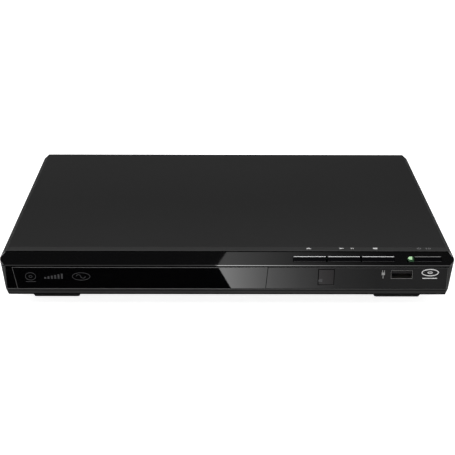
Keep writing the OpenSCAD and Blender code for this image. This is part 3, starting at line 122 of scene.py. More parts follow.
def about_one(tree, noise, amount):
    """1 plus a noise's swing about its middle, times an amount."""
    swing = reckoned(tree, "SUBTRACT", noise, 0.5)
    return reckoned(tree, "ADD", reckoned(tree, "MULTIPLY", swing, amount), 1.0)


def uneven(tree, given, noise):
    """The given roughness, made more and less by a noise."""
    return reckoned(tree, "MULTIPLY", given["Roughness"], about_one(tree, noise, given["Spread"]))


def relief(tree, given, noise):
    """The surface raised and sunk by a noise to the given depth."""
    return add_node(tree, "Bump", {"Height": noise, "Distance": given["Depth"],
                                   "Strength": 1.0}).outputs[0]


socket_kinds = {"Colour": "Color", "Edge Light": "Color", "Trace": "Color", "Stretch": "Vector",
                "Normal": "Vector"}


def add_sockets(group, way, names):
    """Adds inputs or outputs to a shared effect. Those with no kind of their own are numbers."""
    for name in names:
        kind = "NodeSocket" + socket_kinds.get(name, "Float")
        group.interface.new_socket(name=name, in_out=way, socket_type=kind)


def new_group(name, *inputs):
    """An empty shared effect with its named inputs, and what it is given."""
    group = bpy.data.node_groups.new(name, "ShaderNodeTree")
    add_sockets(group, "INPUT", inputs)
    return group, group.nodes.new("NodeGroupInput").outputs


def put_out(group, results):
    """Gives a shared effect its named outputs and what it puts out of them."""
    add_sockets(group, "OUTPUT", results)
    feed(group, group.nodes.new("NodeGroupOutput").inputs, results)
    return group


def put_surface(group, given, noise, height):
    """Puts out the given colour and roughness, varied by a noise, with the relief of a height."""
    shade = about_one(group, noise, given["Tone"])
    colour = add_node(group, "VectorMath", {0: given["Colour"], "Scale": shade}, operation="SCALE")
    return put_out(group, {"Colour": colour.outputs[0], "Roughness": uneven(group, given, noise),
                           "Normal": relief(group, given, height)})


def make_drawn():
    """Long fine lines of rolled, brushed or turned metal, stretched along one direction."""
    group, given = new_group("drawn metal", "Colour", "Tone", "Roughness", "Spread", "Stretch",
                             "Depth")
    place = own_place(group)
    along = add_node(group, "VectorMath", {0: place, 1: given["Stretch"]}, operation="MULTIPLY")
    lines = cloudy(group, along.outputs[0], 1.0, 4.0)
    patches = add_node(group, "TexVoronoi", {"Vector": place, "Scale": 160.0}).outputs["Distance"]
    return put_surface(group, given, mixed(group, 0.35, lines, patches), lines)


def make_edge_wear_and_highlight():
    """Edges that are a little round and lighter, partly as wear and partly as a painted highlight:
    where the rounded normal leaves the flat one.
    """
    group, given = new_group("edge wear and highlight", "Colour", "Edge Light", "Amount", "Radius", "Normal")
    flat = add_node(group, "NewGeometry").outputs["Normal"]
    turned = add_node(group, "Bevel", {"Radius": given["Radius"]}, samples=4).outputs[0]
    grained = add_node(group, "Bevel", {"Radius": given["Radius"], "Normal": given["Normal"]},
                       samples=4).outputs[0]
    kept = add_node(group, "VectorMath", {0: flat, 1: turned}, operation="DOT_PRODUCT")
    leaves = reckoned(group, "SUBTRACT", 1.0, kept.outputs["Value"])
    lightened_edge = reckoned(group, "MULTIPLY", leaves, cloudy(group, own_place(group), 900.0, 3.0))
    mask = reckoned(group, "MULTIPLY", lightened_edge, given["Amount"], use_clamp=True)
    return put_out(group, {"Colour": mixed(group, mask, given["Colour"], given["Edge Light"], "RGBA"),
                           "Normal": grained})


drawn_group = make_drawn()
edge_wear_highlight_group = make_edge_wear_and_highlight()


def on_shader(finish, sources):
    """Feeds the sockets of a finish's own shader."""
    tree = finish.node_tree
    feed(tree, tree.nodes["Principled BSDF"].inputs, sources)


def new_finish(name, colour, roughness, metallic=0.0, specular=0.5):
    """A finish with its plain values on the shader's own sockets."""
    finish = bpy.data.materials.new(name)
    finish.use_nodes = True
    on_shader(finish, {"Base Color": (*colour, 1), "Roughness": roughness, "Metallic": metallic,
                       "Specular IOR Level": specular})
    return finish


def laid(finish, group, sources):
    """Lays a shared effect in a finish with its own values, and gives what it puts out."""
    effect = finish.node_tree.nodes.new("ShaderNodeGroup")
    effect.node_tree = group
    feed(finish.node_tree, effect.inputs, sources)
    return effect.outputs


def with_edges(finish, base, edge_light_colour, amount, radius):
    """Joins a surface effect to the shader through the lighter edges, partly wear and partly a
    painted highlight. The radius is in mm.
    """
    edges = laid(finish, edge_wear_highlight_group, {
        "Colour": base["Colour"], "Edge Light": (*edge_light_colour, 1), "Amount": amount,
        "Radius": radius * MM, "Normal": base["Normal"]})
    on_shader(finish, {"Base Color": edges["Colour"], "Roughness": base["Roughness"],
                       "Normal": edges["Normal"]})
    return finish


# Metal edges are made paler, partly as wear and partly as a painted highlight.
metal_spread, metal_edge_lighten, metal_paler, metal_edge = 0.3, 2.0, 1.2, 0.12


def metal(name, colour, roughness, lines=(400, 400, 400), depth=0.002, tone=0.12):
    """Bare or plated metal. lines is how fast its drawn lines change along X, Y and Z."""
    finish = new_finish(name, colour, roughness, metallic=1.0)
    base = laid(finish, drawn_group, {
        "Colour": (*colour, 1), "Tone": tone, "Roughness": roughness, "Spread": metal_spread,
        "Stretch": lines, "Depth": depth * MM})
    edge_light_colour = [min(1.0, c * metal_paler) for c in colour]
    return with_edges(finish, base, edge_light_colour, metal_edge_lighten, metal_edge)


def dress(finish, *names):
    """Gives CAD nodes a finish."""
    for name in names:
        for place in nodes[name].material_slots:
            place.material = finish


pan_finish = metal("galvanised sheet", (0.56, 0.57, 0.57), 0.36, (40, 500, 500), tone=0.2)
dress(pan_finish, "bottom_chassis")


# Feet and pads: four black wedge feet are moulded with a draft and snapped into the pan,
# and each has a dark foam pad glued under it.
def grey(level):
    """A colour without a hue."""
    return level, level, level


def make_grain():
    """Fine grain of a moulding or of sprayed paint, with slow patches over the whole surface."""
    group, given = new_group("surface grain", "Colour", "Tone", "Roughness", "Spread", "Grain",
                             "Depth")
    place = own_place(group)
    fine = cloudy(group, place, reckoned(group, "DIVIDE", 1.0, given["Grain"]), 3.0)
    patches = cloudy(group, place, 22.0, 2.0)
    return put_surface(group, given, mixed(group, 0.5, fine, patches), fine)


grain_group = make_grain()
# Moulded edges are made paler, partly as wear and partly as a painted highlight.
grain_spread, moulded_edge, moulded_paler, moulded_lift = 0.2, 0.15, 1.6, 0.01


def moulded(name, colour, roughness, grain=0.5, depth=0.01, tone=0.1, specular=0.5, edge_lighten=2.0):
    """Plastic, rubber or paint, with its grain's size and depth in mm."""
    finish = new_finish(name, colour, roughness, specular=specular)
    base = laid(finish, grain_group, {
        "Colour": (*colour, 1), "Tone": tone, "Roughness": roughness, "Spread": grain_spread,
        "Grain": grain * MM, "Depth": depth * MM})
    edge_light_colour = [min(1.0, c * moulded_paler + moulded_lift) for c in colour]
    return with_edges(finish, base, edge_light_colour, edge_lighten, moulded_edge)


def welded(node):
    """A CAD node's solid with its corners joined and its flat faces made whole again. All its
    faces have the first finish."""
    mesh = bmesh.new()
    mesh.from_mesh(nodes[node].data)
    bmesh.ops.remove_doubles(mesh, verts=mesh.verts, dist=1e-6)
    bmesh.ops.dissolve_limit(mesh, angle_limit=math.radians(0.6), verts=mesh.verts,
                             edges=mesh.edges)
    for face in mesh.faces:
        face.material_index = 0
    return mesh


def made(name, mesh, finishes):
    """Makes an object of a bmesh and its finishes."""
    data = bpy.data.meshes.new(name)
    mesh.to_mesh(data)
    mesh.free()
    for finish in finishes:
        data.materials.append(finish)
    thing = bpy.data.objects.new(name, data)
    bpy.context.collection.objects.link(thing)
    return thing


def shown(name, mesh, finishes, body):
    """Makes a piece of the player from a bmesh, with crisp flats and soft rounds."""
    piece = made(name, mesh, finishes)
    for face in piece.data.polygons:
        face.use_smooth = True
    piece.data.set_sharp_from_angle(angle=math.radians(30))
    even = piece.modifiers.new("even shading", "WEIGHTED_NORMAL")
    even.keep_sharp = True
    even.weight = 100
    even.thresh = 0.0
    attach(piece, body)
    return piece


def stand_in(node, mesh, finishes, body):
    """Makes a piece that takes the place of a CAD node."""
    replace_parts(shown(node + "_piece", mesh, finishes, body), node)


def sharp_edges(mesh, least):
    """The edges where two faces meet at more than a least angle."""
    return [e for e in mesh.edges
            if len(e.link_faces) == 2 and e.calc_face_angle() > math.radians(least)]


roomy, tight = 2.1, 1.05


def rounded(mesh, width, segments=2, least=28, where=None, room=roomy):
    """Rounds the sharp edges that a test of a place in mm picks. An edge stays sharp where one
    beside it is shorter than the width times the room that is asked for."""
    edges = [e for e in sharp_edges(mesh, least)
             if all(n.calc_length() > room * width * MM for v in e.verts for n in v.link_edges)
             and (where is None or all(where(v.co / MM) for v in e.verts))]
    return bmesh.ops.bevel(mesh, geom=edges, offset=width * MM, segments=segments, profile=0.5,
                           affect="EDGES", clamp_overlap=False, material=-1)["faces"]


def same(length, other):
    """Whether two lengths in mm are the same."""
    return abs(length - other) < 0.01


def eased(node, body, finishes, width, segments=2, least=28, special=(), settled=()):
    """Rounds a CAD node's edges and puts the piece in its place. Each of special is a test that
    picks edges, a width of their own, and a function from a place to a finish's number, for the
    part of the round that doesn't face up. settled is a height, how far the corners at that
    height sink, and the rake they follow."""
    mesh = welded(node)
    if settled:
        height, sag, rake = settled
        for corner in mesh.verts:
            if same(corner.co.z / MM, height):
                corner.co.z -= sag * MM
                corner.co.y -= sag * rake * MM
    for where, wide, finish in special:
        for face in rounded(mesh, wide, 4, least, where, tight):
            up = face.normal.z > 0.75
            face.material_index = 0 if up else finish(face.calc_center_median() / MM)
    rounded(mesh, width, segments, least)
    stand_in(node, mesh, finishes, body)


foot_finish = moulded("foot moulding", grey(0.012), 0.5, grain=0.4, depth=0.015)
eased("feet", "case", [foot_finish], width=0.5, segments=3)
dress(moulded("foam pad", grey(0.035), 0.95, grain=0.25, depth=0.08, tone=0.5), "foot_pads")


# Loader frame: a ribbed black moulding with two side walls, screwed to the pan over the drive.
# It guides the tray and carries the loading motor, the gears and the cam.
dress(moulded("frame moulding", (0.014, 0.015, 0.017), 0.45, grain=0.6, depth=0.012),
      "loader_frame")


# Loading motor, belt and gears: a plated can with a turned brass pulley turns a white acetal
# pulley gear by a rubber belt, and that turns the gear which drives the tray's rack.
motor_finish = metal("plated can", (0.6, 0.61, 0.62), 0.28, (900, 900, 40), 0.0004, 0.06)
brass_finish = metal("turned brass", (0.72, 0.52, 0.2), 0.25, (300, 300, 2500))
acetal_finish = moulded("natural acetal", (0.8, 0.78, 0.7), 0.35, grain=0.8, depth=0.004, tone=0.05)
on_shader(acetal_finish, {"Subsurface Weight": 0.15, "Subsurface Scale": 1.5 * MM})
dress(motor_finish, "loading_motor", "sled_motor")
dress(brass_finish, "motor_pulley", "sled_screw")
dress(moulded("belt rubber", grey(0.01), 0.75, grain=0.3), "drive_belt")
dress(acetal_finish, "pulley_gear", "tray_gear", "cam_slider")


# Disc drive: a zinc-plated base swings up under the disc with its spindle motor, the turntable
# and its rubber mat, two ground rods, the cast pickup with its coated lens, and the screw motor.
dress(metal("zinc plate", (0.66, 0.67, 0.66), 0.3, (30, 700, 700)), "traverse_base")
dress(metal("ground steel", (0.78, 0.79, 0.8), 0.12, (2000, 20, 2000), 0.0005), "guide_rods")
dress(metal("die-cast body", (0.33, 0.34, 0.35), 0.5, depth=0.01), "pickup_sled")
dress(motor_finish, "spindle_motor", "spindle_rotor")
dress(moulded("turntable moulding", grey(0.012), 0.4), "turntable")
dress(moulded("mat rubber", grey(0.03), 0.85, grain=0.35, depth=0.02), "turntable_mat")
lens_finish = moulded("coated lens", (0.35, 0.55, 0.8), 0.04, grain=2.0, depth=0.0, tone=0.05,
                      edge_lighten=0.0)
on_shader(lens_finish, {"Transmission Weight": 0.85, "IOR": 1.52})
dress(lens_finish, "objective_lens")


# Clamp: a spring-steel bridge spans the loader's walls, and the white puck hangs in it. A steel
# yoke on the puck is drawn down to the turntable's magnet, and so holds the disc.
dress(metal("bridge steel", (0.6, 0.61, 0.62), 0.3, (30, 700, 700)),
      "clamper_bridge", "clamper_yoke")
dress(moulded("white moulding", (0.72, 0.72, 0.69), 0.42, grain=0.8, depth=0.004, tone=0.05),
      "clamper_puck")


# Tray: a dark grey moulding with the two steps for a large and a small disc, a long slot for
# the drive and the rack under its edge. Its door is clipped to its front.
dress(moulded("tray moulding", (0.034, 0.034, 0.037), 0.5, grain=0.35, depth=0.02), "disc_tray")


# Main board: green laminate with copper traces under the mask, carrying the decoder and its
# memory, a finned heatsink, blue capacitors and white headers for the cables.
def make_traces():
    """Copper runs under a solder mask: square paths between pads, a shade lighter than it."""
    group, given = new_group("copper traces", "Colour", "Trace", "Pitch")
    place = own_place(group)
    bricks = add_node(group, "TexBrick", {
        "Vector": place, "Scale": reckoned(group, "DIVIDE", 1.0, given["Pitch"]),
        "Mortar Size": 0.12, "Mortar Smooth": 0.1, "Brick Width": 3.1, "Row Height": 0.7},
        offset=0.37, squash=0.6, squash_frequency=3)
    zones = add_node(group, "TexVoronoi", {"Vector": place, "Scale": 70.0}, distance="CHEBYCHEV")
    busy = reckoned(group, "LESS_THAN", zones.outputs["Distance"], 0.42)
    lines = reckoned(group, "MULTIPLY", bricks.outputs["Fac"], busy)
    return put_out(group, {"Colour": mixed(group, lines, given["Colour"], given["Trace"], "RGBA")})


trace_group = make_traces()


def board(name, colour, trace, pitch):
    """Laminate with a solder mask: a moulded finish whose colour comes through the traces."""
    finish = moulded(name, colour, 0.35, grain=0.3, depth=0.003)
    runs = laid(finish, trace_group, {"Colour": (*colour, 1), "Trace": (*trace, 1),
                                      "Pitch": pitch * MM})
    base = next(n for n in finish.node_tree.nodes
                if n.type == "GROUP" and n.node_tree == grain_group)
    feed(finish.node_tree, base.inputs, {"Colour": runs["Colour"]})
    return finish


mask_finish = board("green board", (0.017, 0.11, 0.035), (0.05, 0.24, 0.08), 1.6)
dress(mask_finish, "main_board")
dress(moulded("chip epoxy", (0.011, 0.011, 0.012), 0.5, grain=0.25, depth=0.006), "main_chips")
dress(metal("plain aluminium", (0.7, 0.71, 0.72), 0.35, (500, 30, 500)), "main_heatsink")
dress(moulded("header moulding", (0.78, 0.76, 0.67), 0.4, grain=0.8, depth=0.004),
      "cable_headers")


# Capacitors: aluminium cans stand on both boards. A blue sleeve is shrunk over each can's
# rounded rim and leaves its sunk top bare.
sleeve_finish = moulded("capacitor sleeve", (0.02, 0.045, 0.19), 0.22, grain=1.5, depth=0.002)
can_finish = metal("aluminium can", (0.72, 0.73, 0.74), 0.3, (300, 300, 300), 0.001)
rim_round, rim_share, top_sunk = 0.3, 0.12, 0.15

for name in ("board_capacitors", "power_capacitors"):
    cans = welded(name)
    rounded(cans, rim_round, segments=3, least=60, room=tight)
    for top in [f for f in cans.faces if f.normal.z > 0.999 and len(f.verts) > 8]:
        reach = min((v.co - top.calc_center_median()).length for v in top.verts)
        bmesh.ops.inset_individual(cans, faces=[top], thickness=rim_share * reach,
                                   depth=-top_sunk * MM)
        top.material_index = 1
    stand_in(name, cans, [sleeve_finish, can_finish], "case")


# Chip legs: rows of tinned legs stand out from the long sides of each chip. Each leg drops
# beside the body and is soldered to the board by its foot.
def solids_of(mesh):
    """The boxes of the separate solids in a bmesh, from left to right, in mm."""
    found = []
    waiting = set(mesh.verts)
    while waiting:
        solid = {waiting.pop()}
        rim = list(solid)
        while rim:
            here = rim.pop()
            for edge in here.link_edges:
                other = edge.other_vert(here)
                if other in waiting:
                    waiting.discard(other)
                    solid.add(other)
                    rim.append(other)
        found.append([[f(v.co[i] for v in solid) / MM for i in range(3)] for f in (min, max)])
    return sorted(found)


def box_in(mesh, first, second):
    """Adds a closed box to a bmesh between two opposite corners, in mm."""
    low, high = ([f(pair) for pair in zip(first, second)] for f in (min, max))
    corners = bmesh.ops.create_cube(mesh, size=1.0)["verts"]
    for corner in corners:
        corner.co = Vector([(low[i] + high[i]) / 2 + corner.co[i] * (high[i] - low[i])
                            for i in range(3)]) * MM
    return corners


leg_finish = metal("tinned leg", (0.62, 0.63, 0.64), 0.3)
leg_pitch, leg_w, leg_reach, leg_sunk, foot_t = 1.6, 0.5, 1.1, 0.3, 0.25
shin_t, shin_low, shin_high, least_chip = 0.35, 0.2, 0.9, 5
chips = welded("main_chips")
legs = bmesh.new()
for low, high in solids_of(chips):
    if high[0] - low[0] < least_chip:
        continue
    count = int((high[0] - low[0] - 1) / leg_pitch)
    start = (low[0] + high[0] - (count - 1) * leg_pitch) / 2
    for i in range(count):
        left, right = (start + i * leg_pitch + side * leg_w / 2 for side in (-1, 1))
        for y, out in ((low[1], -1), (high[1], 1)):
            box_in(legs, (left, y - leg_sunk * out, low[2]),
                   (right, y + leg_reach * out, low[2] + foot_t))
            box_in(legs, (left, y, low[2] + shin_low),
                   (right, y + shin_t * out, low[2] + shin_high))
chips.free()
shown("chip_legs", legs, [leg_finish], "case")


# Power board: a brown phenolic board at the back holds the fuse between its plated caps, the
# transformer with its dark core in yellow tape, and the large capacitors.
def box_of(node):
    """The lowest and the highest corner of a CAD node, in mm."""
    low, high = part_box(node)
    return low / MM, high / MM


def two_finishes(node, finishes, axis, reach, width):
    """A node in two finishes: the second is for what lies beyond a reach from its middle, in mm."""
    mesh = welded(node)
    low, high = box_of(node)
    for face in mesh.faces:
        away = abs(face.calc_center_median()[axis] / MM - (low[axis] + high[axis]) / 2)
        face.material_index = 1 if away > reach else 0
    rounded(mesh, width)
    stand_in(node, mesh, finishes, "case")


dress(board("phenolic board", (0.34, 0.22, 0.08), (0.42, 0.3, 0.13), 2.6), "power_board")
tape_finish = moulded("winding tape", (0.55, 0.34, 0.06), 0.3, grain=1.2)
core_finish = metal("lacquered core", (0.09, 0.085, 0.08), 0.45, (60, 60, 1500), 0.01)
fuse_finish = moulded("fuse glass", (0.85, 0.87, 0.88), 0.06, grain=2.0, depth=0.0, tone=0.04)
on_shader(fuse_finish, {"Transmission Weight": 0.7, "IOR": 1.47})
cap_finish = metal("fuse cap", (0.68, 0.69, 0.7), 0.22, depth=0.0005)
two_finishes("transformer", [tape_finish, core_finish], axis=1, reach=5.9,
             width=0.3)
two_finishes("fuse", [fuse_finish, cap_finish], axis=0, reach=4.4, width=0.15)


# Cables and screws: white flat cables and a red wire harness join the boards, and zinc-plated
# screws hold the boards and the loader down.
dress(moulded("flat cable", grey(0.76), 0.4, grain=0.6, depth=0.004), "flat_cables")
dress(moulded("wire insulation", (0.42, 0.03, 0.03), 0.35, grain=0.8, depth=0.003),
      "wire_harness")
dress(metal("zinc screw", (0.68, 0.69, 0.7), 0.28, (500, 500, 500)), "board_screws")


# Rear sockets: four coloured phono jacks with plated barrels and hollow contacts, a wide
# audio-video socket, and a two-pin mains inlet, both moulded in black.
def tube(mesh, centre, inner, outer, start, end, turns=24):
    """Adds a hollow round sleeve along Y to a bmesh, in mm."""
    rings = []
    for radius, y in ((inner, start), (outer, start), (outer, end), (inner, end)):
        ring_points = [(centre[0] + radius * math.cos(2 * math.pi * i / turns), y,
                        centre[1] + radius * math.sin(2 * math.pi * i / turns))
                       for i in range(turns)]
        rings.append([mesh.verts.new(Vector(point) * MM) for point in ring_points])
    for k in range(4):
        here, after = rings[k], rings[(k + 1) % 4]
        for i in range(turns):
            j = (i + 1) % turns
            mesh.faces.new((here[i], after[i], after[j], here[j]))


jack_colours = {
    "coax_jack": ("jack_orange", (0.66, 0.16, 0.02)),
    "video_jack": ("jack_yellow", (0.72, 0.5, 0.015)),
    "audio_jack_left": ("jack_white", (0.75, 0.75, 0.72)),
    "audio_jack_right": ("jack_red", (0.48, 0.015, 0.015)),
}
barrel_finish = metal("nickel plate", (0.68, 0.69, 0.71), 0.16, (300, 300, 300), 0.0005)
barrel_below, barrel_rim, barrel_foot = 6.0, 3.2, 3.9
contact_in, contact_out, contact_foot, contact_tip = 1.32, 1.62, 4.0, 1.1

for name, (slot, colour) in jack_colours.items():
    plastic = moulded("plastic " + slot, colour, 0.3, grain=0.6, depth=0.003, tone=0.06)
    low, high = box_of(name)
    axis_x, axis_z = (low.x + high.x) / 2, high.z - barrel_below
    jack = welded(name)
    for face in jack.faces:
        plated = all(math.hypot(v.co.x / MM - axis_x, v.co.z / MM - axis_z) > barrel_rim
                     and v.co.y / MM > high.y - barrel_foot for v in face.verts)
        face.material_index = 1 if plated else 0
    rounded(jack, width=0.12)
    stand_in(name, jack, [plastic, barrel_finish], "case")
    contact = bmesh.new()
    tube(contact, (axis_x, axis_z), contact_in, contact_out, high.y - contact_foot,
         high.y - contact_tip)
    shown(name + "_contact", contact, [barrel_finish], "case")
dress(moulded("socket moulding", (0.012, 0.012, 0.013), 0.42), "scart_socket", "mains_inlet")


# Socket blades and pins: ten sprung blades lie on each side of the wide socket's tongue, and the
# inlet has two round pins with domed tips. All are plated and pressed into the housings.
blade_pitch, blade_w, blade_t, blade_foot, blade_tip = 3.55, 1.5, 0.2, 8.0, 1.9
tongue_below, tongue_z = 8.1, 3.5
low, high = box_of("scart_socket")
blades = bmesh.new()
for i in range(10):
    x = (low.x + high.x) / 2 + (i - 4.5) * blade_pitch
    for side in (-1, 1):
        z = high.z - tongue_below + side * tongue_z
        box_in(blades, (x - blade_w / 2, high.y - blade_foot, z - blade_t / 2),
               (x + blade_w / 2, high.y - blade_tip, z + blade_t / 2))
shown("scart_blades", blades, [barrel_finish], "case")

pin_apart, pin_r, pin_foot, pin_tip, pin_dome = 4.3, 1.25, 13.5, 3.4, 0.9
low, high = box_of("mains_inlet")
pins = bmesh.new()
for side in (-1, 1):
    pin_at = Vector(((low.x + high.x) / 2 + side * pin_apart, high.y - (pin_foot + pin_tip) / 2,
                     (low.z + high.z) / 2)) * MM
    pin = bmesh.ops.create_cone(pins, cap_ends=True, segments=24, radius1=pin_r * MM,
                                radius2=pin_r * MM, depth=(pin_foot - pin_tip) * MM)
    for corner in pin["verts"]:
        corner.co = pin_at + Vector((corner.co.x, corner.co.z, -corner.co.y))
tips = [e for e in sharp_edges(pins, 60)
        if all(same(v.co.y / MM, high.y - pin_tip) for v in e.verts)]
bmesh.ops.bevel(pins, geom=tips, offset=pin_dome * MM, segments=5, profile=0.5, affect="EDGES",
                material=-1)
shown("inlet_pins", pins, [barrel_finish], "case")


# Rear panel: a plate of steel with louvres, painted black and holed for the sockets. It is
# screwed to the pan and to the cover's rear edge.
dress(moulded("rear paint", grey(0.014), 0.55, grain=0.3, edge_lighten=3.0), "rear_panel")


# Front frame: one grained black moulding makes the label strip on top, the opening's edges and the
# lip below. It hooks over the cover's front edge.
# Its edges carry painted highlights, brighter at the lip's left. Its undersides, its lowest strip,
# the strip's front end and a line across the lip where a groove's shade falls are painted dark as
# shade. The lip's face is a darker copy of the moulding, as painted shade.
def each_once(things):
    """The things in their order, each once."""
    return list(dict.fromkeys(things))


def parted(mesh, faces, point, normal):
    """Cuts some faces of a mesh along a plane, in mm."""
    edges = each_once(e for f in faces for e in f.edges)
    corners = each_once(v for f in faces for v in f.verts)
    bmesh.ops.bisect_plane(mesh, geom=faces + edges + corners, dist=1e-7,
                           plane_co=Vector(point) * MM, plane_no=normal)


grained_face = {"grain": 0.28, "depth": 0.006, "tone": 0.06, "specular": 0.12}
grained_edge = {"grain": 0.28, "depth": 0.004, "specular": 0.12}
# Finish 1 paints shade, finish 2 paints a highlight, finish 3 is the moulding made darker as
# painted shade on the lip's face, and finish 4 paints a brighter highlight.
front_finishes = [
    moulded("front moulding", grey(0.036), 0.55, **grained_face),
    moulded("painted shade moulding", grey(0.002), 0.3, depth=0.002, specular=0.0),
    moulded("painted highlight front edge", grey(0.05), 0.5, **grained_edge),
    moulded("painted shade lip moulding", grey(0.024), 0.55, **grained_face),
    moulded("brighter painted highlight lip edge", grey(0.12), 0.5, **grained_edge),
]
plain, lightened_edge, lip, left_lip_highlight = range(1, 5)
strip_z, front_shade_end, front_highlight_end, brighter_highlight_to = 36.0, -96.6, -95.5, 2.0
lip_front, lip_top, lip_rise = -101.2, 13.9, 0.25
sill_front, lip_foot, lip_drop = -100.0, 10.5, 0.15
groove_shade_low, groove_shade_high, lip_round, frame_round = 12.8, 13.15, 0.35, 0.2
under_lip, under_round = 0.3, 0.4

front_mesh = welded("front_bezel")
for corner in front_mesh.verts:
    place = corner.co / MM
    if place.y < lip_front and same(place.z, lip_top):
        corner.co.z += lip_rise * MM
    if place.y < sill_front and place.z < lip_foot - under_lip:
        corner.co.z -= lip_drop * MM
lip_top += lip_rise
# The lip's upper edge is rounded and painted lighter as a highlight.
for face in rounded(front_mesh, lip_round, segments=3, room=tight,
                    where=lambda p: p.y < lip_front and same(p.z, lip_top)):
    face.material_index = lightened_edge
rounded(front_mesh, frame_round, segments=3, where=lambda p: p.z > lip_foot)

# The strip's front end is parted: painted shade at its very front, and a painted highlight behind
# it.
for y in (front_shade_end, front_highlight_end):
    parted(front_mesh, [f for f in front_mesh.faces if f.calc_center_median().z > strip_z * MM],
           (0, y, 0), (0, 1, 0))
# The lip's face is parted for its painted-dark lowest strip and for a painted dark line that stands
# for a groove's shade.
for z in (lip_foot, groove_shade_low, groove_shade_high):
    parted(front_mesh, [f for f in front_mesh.faces if f.normal.y < -0.9
                        and lip_foot < f.calc_center_median().z / MM < lip_top],
           (0, 0, z), (0, 0, 1))
# The lip's painted highlight is brighter to the left of a place.
parted(front_mesh, [f for f in front_mesh.faces if f.material_index == lightened_edge],
       (brighter_highlight_to, 0, 0), (1, 0, 0))

# Painted shade goes on the undersides, the groove line, the lowest strip and the strip's front end.
# Painted highlights go on the edges, and the darker copy goes on the lip's face.
for face in front_mesh.faces:
    middle = face.calc_center_median() / MM
    ahead = face.normal.y < -0.9
    dark = ahead and (groove_shade_low < middle.z < groove_shade_high or middle.z < lip_foot)
    if face.normal.z < -0.3 or dark or (middle.z > strip_z and middle.y < front_shade_end):
        face.material_index = plain
    elif middle.z > strip_z and middle.y < front_highlight_end:
        face.material_index = lightened_edge
    elif face.material_index == lightened_edge and middle.x < brighter_highlight_to:
        face.material_index = left_lip_highlight
    elif ahead and middle.z < lip_top - under_round:
        face.material_index = lip
stand_in("front_bezel", front_mesh, front_finishes, "case")


# Label marks: small white prints in front of the keys, open, play and pause, stop, and power.
# They are screen printed, so each is a film of ink on the strip.
def widest_flat(node, direction):
    """The middle and the normal of the widest flat of a CAD node that faces a direction."""
    flats = {}
    for face in nodes[node].data.polygons:
        if face.normal.dot(Vector(direction)) > 0.5:
            key = (*(round(c, 2) for c in face.normal), round(face.normal.dot(face.center), 4))
            flats.setdefault(key, []).append(face)
    faces = max(flats.values(), key=lambda group: sum(f.area for f in group))
    area = sum(f.area for f in faces)
    middle = sum((f.center * f.area for f in faces), Vector()) / area
    return middle, faces[0].normal.copy()


ink_film, ink_gap = 0.016, 0.004
white_ink, grey_ink, faint_ink = (
    moulded(name, colour, 0.5, grain=0.2, depth=0.002, tone=0.08)
    for name, colour in (("white ink", grey(0.6)), ("grey ink", grey(0.25)),
                         ("faint ink", (0.045, 0.045, 0.048))))


def bar(x0, y0, x1, y1):
    """An upright rectangle of ink."""
    return [[(x0, y0), (x1, y0), (x1, y1), (x0, y1)]]


def ring(cx, cy, rx, ry, line, start=0, sweep=360, steps=28):
    """An elliptical line of ink, whole or part of the way round."""
    angles = [math.radians(start + sweep * i / steps) for i in range(steps + 1)]
    inner, outer = ([(cx + math.cos(a) * (rx - cut), cy + math.sin(a) * (ry - cut)) for a in angles]
                    for cut in (line, 0))
    return [list(corners) for corners in zip(inner, outer, outer[1:], inner[1:])]


def printed(name, shapes, flat, x, height, body, ink):
    """Ink on a flat: shapes in mm about a point given by its X and its height on that flat."""
    middle, normal = flat
    right = Vector((1, 0, 0))
    up = normal.cross(right)
    if up.dot(Vector((0, 0.3, 1))) < 0:
        up = -up
    centre = middle + right * (x * MM - middle.x) + up * height * MM
    mesh = bmesh.new()
    for outline in shapes:
        corners = [centre + right * u * MM + up * v * MM for u, v in outline]
        mesh.faces.new([mesh.verts.new(c + normal * ink_gap * MM) for c in corners])
    bmesh.ops.remove_doubles(mesh, verts=mesh.verts, dist=1e-6)
    raised = bmesh.ops.extrude_face_region(mesh, geom=mesh.faces[:], use_keep_orig=True)["geom"]
    for part in raised:
        if isinstance(part, bmesh.types.BMVert):
            part.co += normal * ink_film * MM
    bmesh.ops.recalc_face_normals(mesh, faces=mesh.faces)
    shown(name, mesh, [ink], body)


strip_flat = widest_flat("front_bezel", (0, 0, 1))
mark_row, open_x, play_x, stop_x, power_x = 1.7, 48.8, 70.9, 88.7, 117.6
open_mark = bar(-1.6, -1.1, 1.6, -0.6) + [[(-1.6, -0.3), (1.6, -0.3), (0, 1.1)]]
play_mark = ([[(-3.6, -1.1), (-0.7, 0.0), (-3.6, 1.1)]] + bar(3.2, -1.0, 3.7, 1.0)
             + bar(4.3, -1.0, 4.8, 1.0))
stop_mark = bar(-1.3, -1.0, 1.3, 1.0)
power_mark = (ring(-2.6, 0, 1.2, 1.2, 0.35, 125, 290) + bar(-2.8, 0.2, -2.4, 1.4)
              + bar(1.6, -1.0, 2.0, 1.0) + ring(3.6, 0, 0.9, 1.0, 0.3))
printed("open_mark", open_mark, strip_flat, open_x, mark_row, "case", white_ink)
printed("play_mark", play_mark, strip_flat, play_x, mark_row, "case", white_ink)
printed("stop_mark", stop_mark, strip_flat, stop_x, mark_row, "case", white_ink)
printed("power_mark", power_mark, strip_flat, power_x, mark_row, "case", grey_ink)


# Front board, switches and receiver: a narrow green board behind the face carries the key
# switches, the power lamp and the infrared receiver in its dark epoxy.
dress(mask_finish, "front_board")
dress(moulded("switch bodies", grey(0.02), 0.45, depth=0.006), "tact_switches")
dress(moulded("receiver epoxy", (0.008, 0.004, 0.005), 0.12, grain=1.5, depth=0.002),
      "ir_receiver")


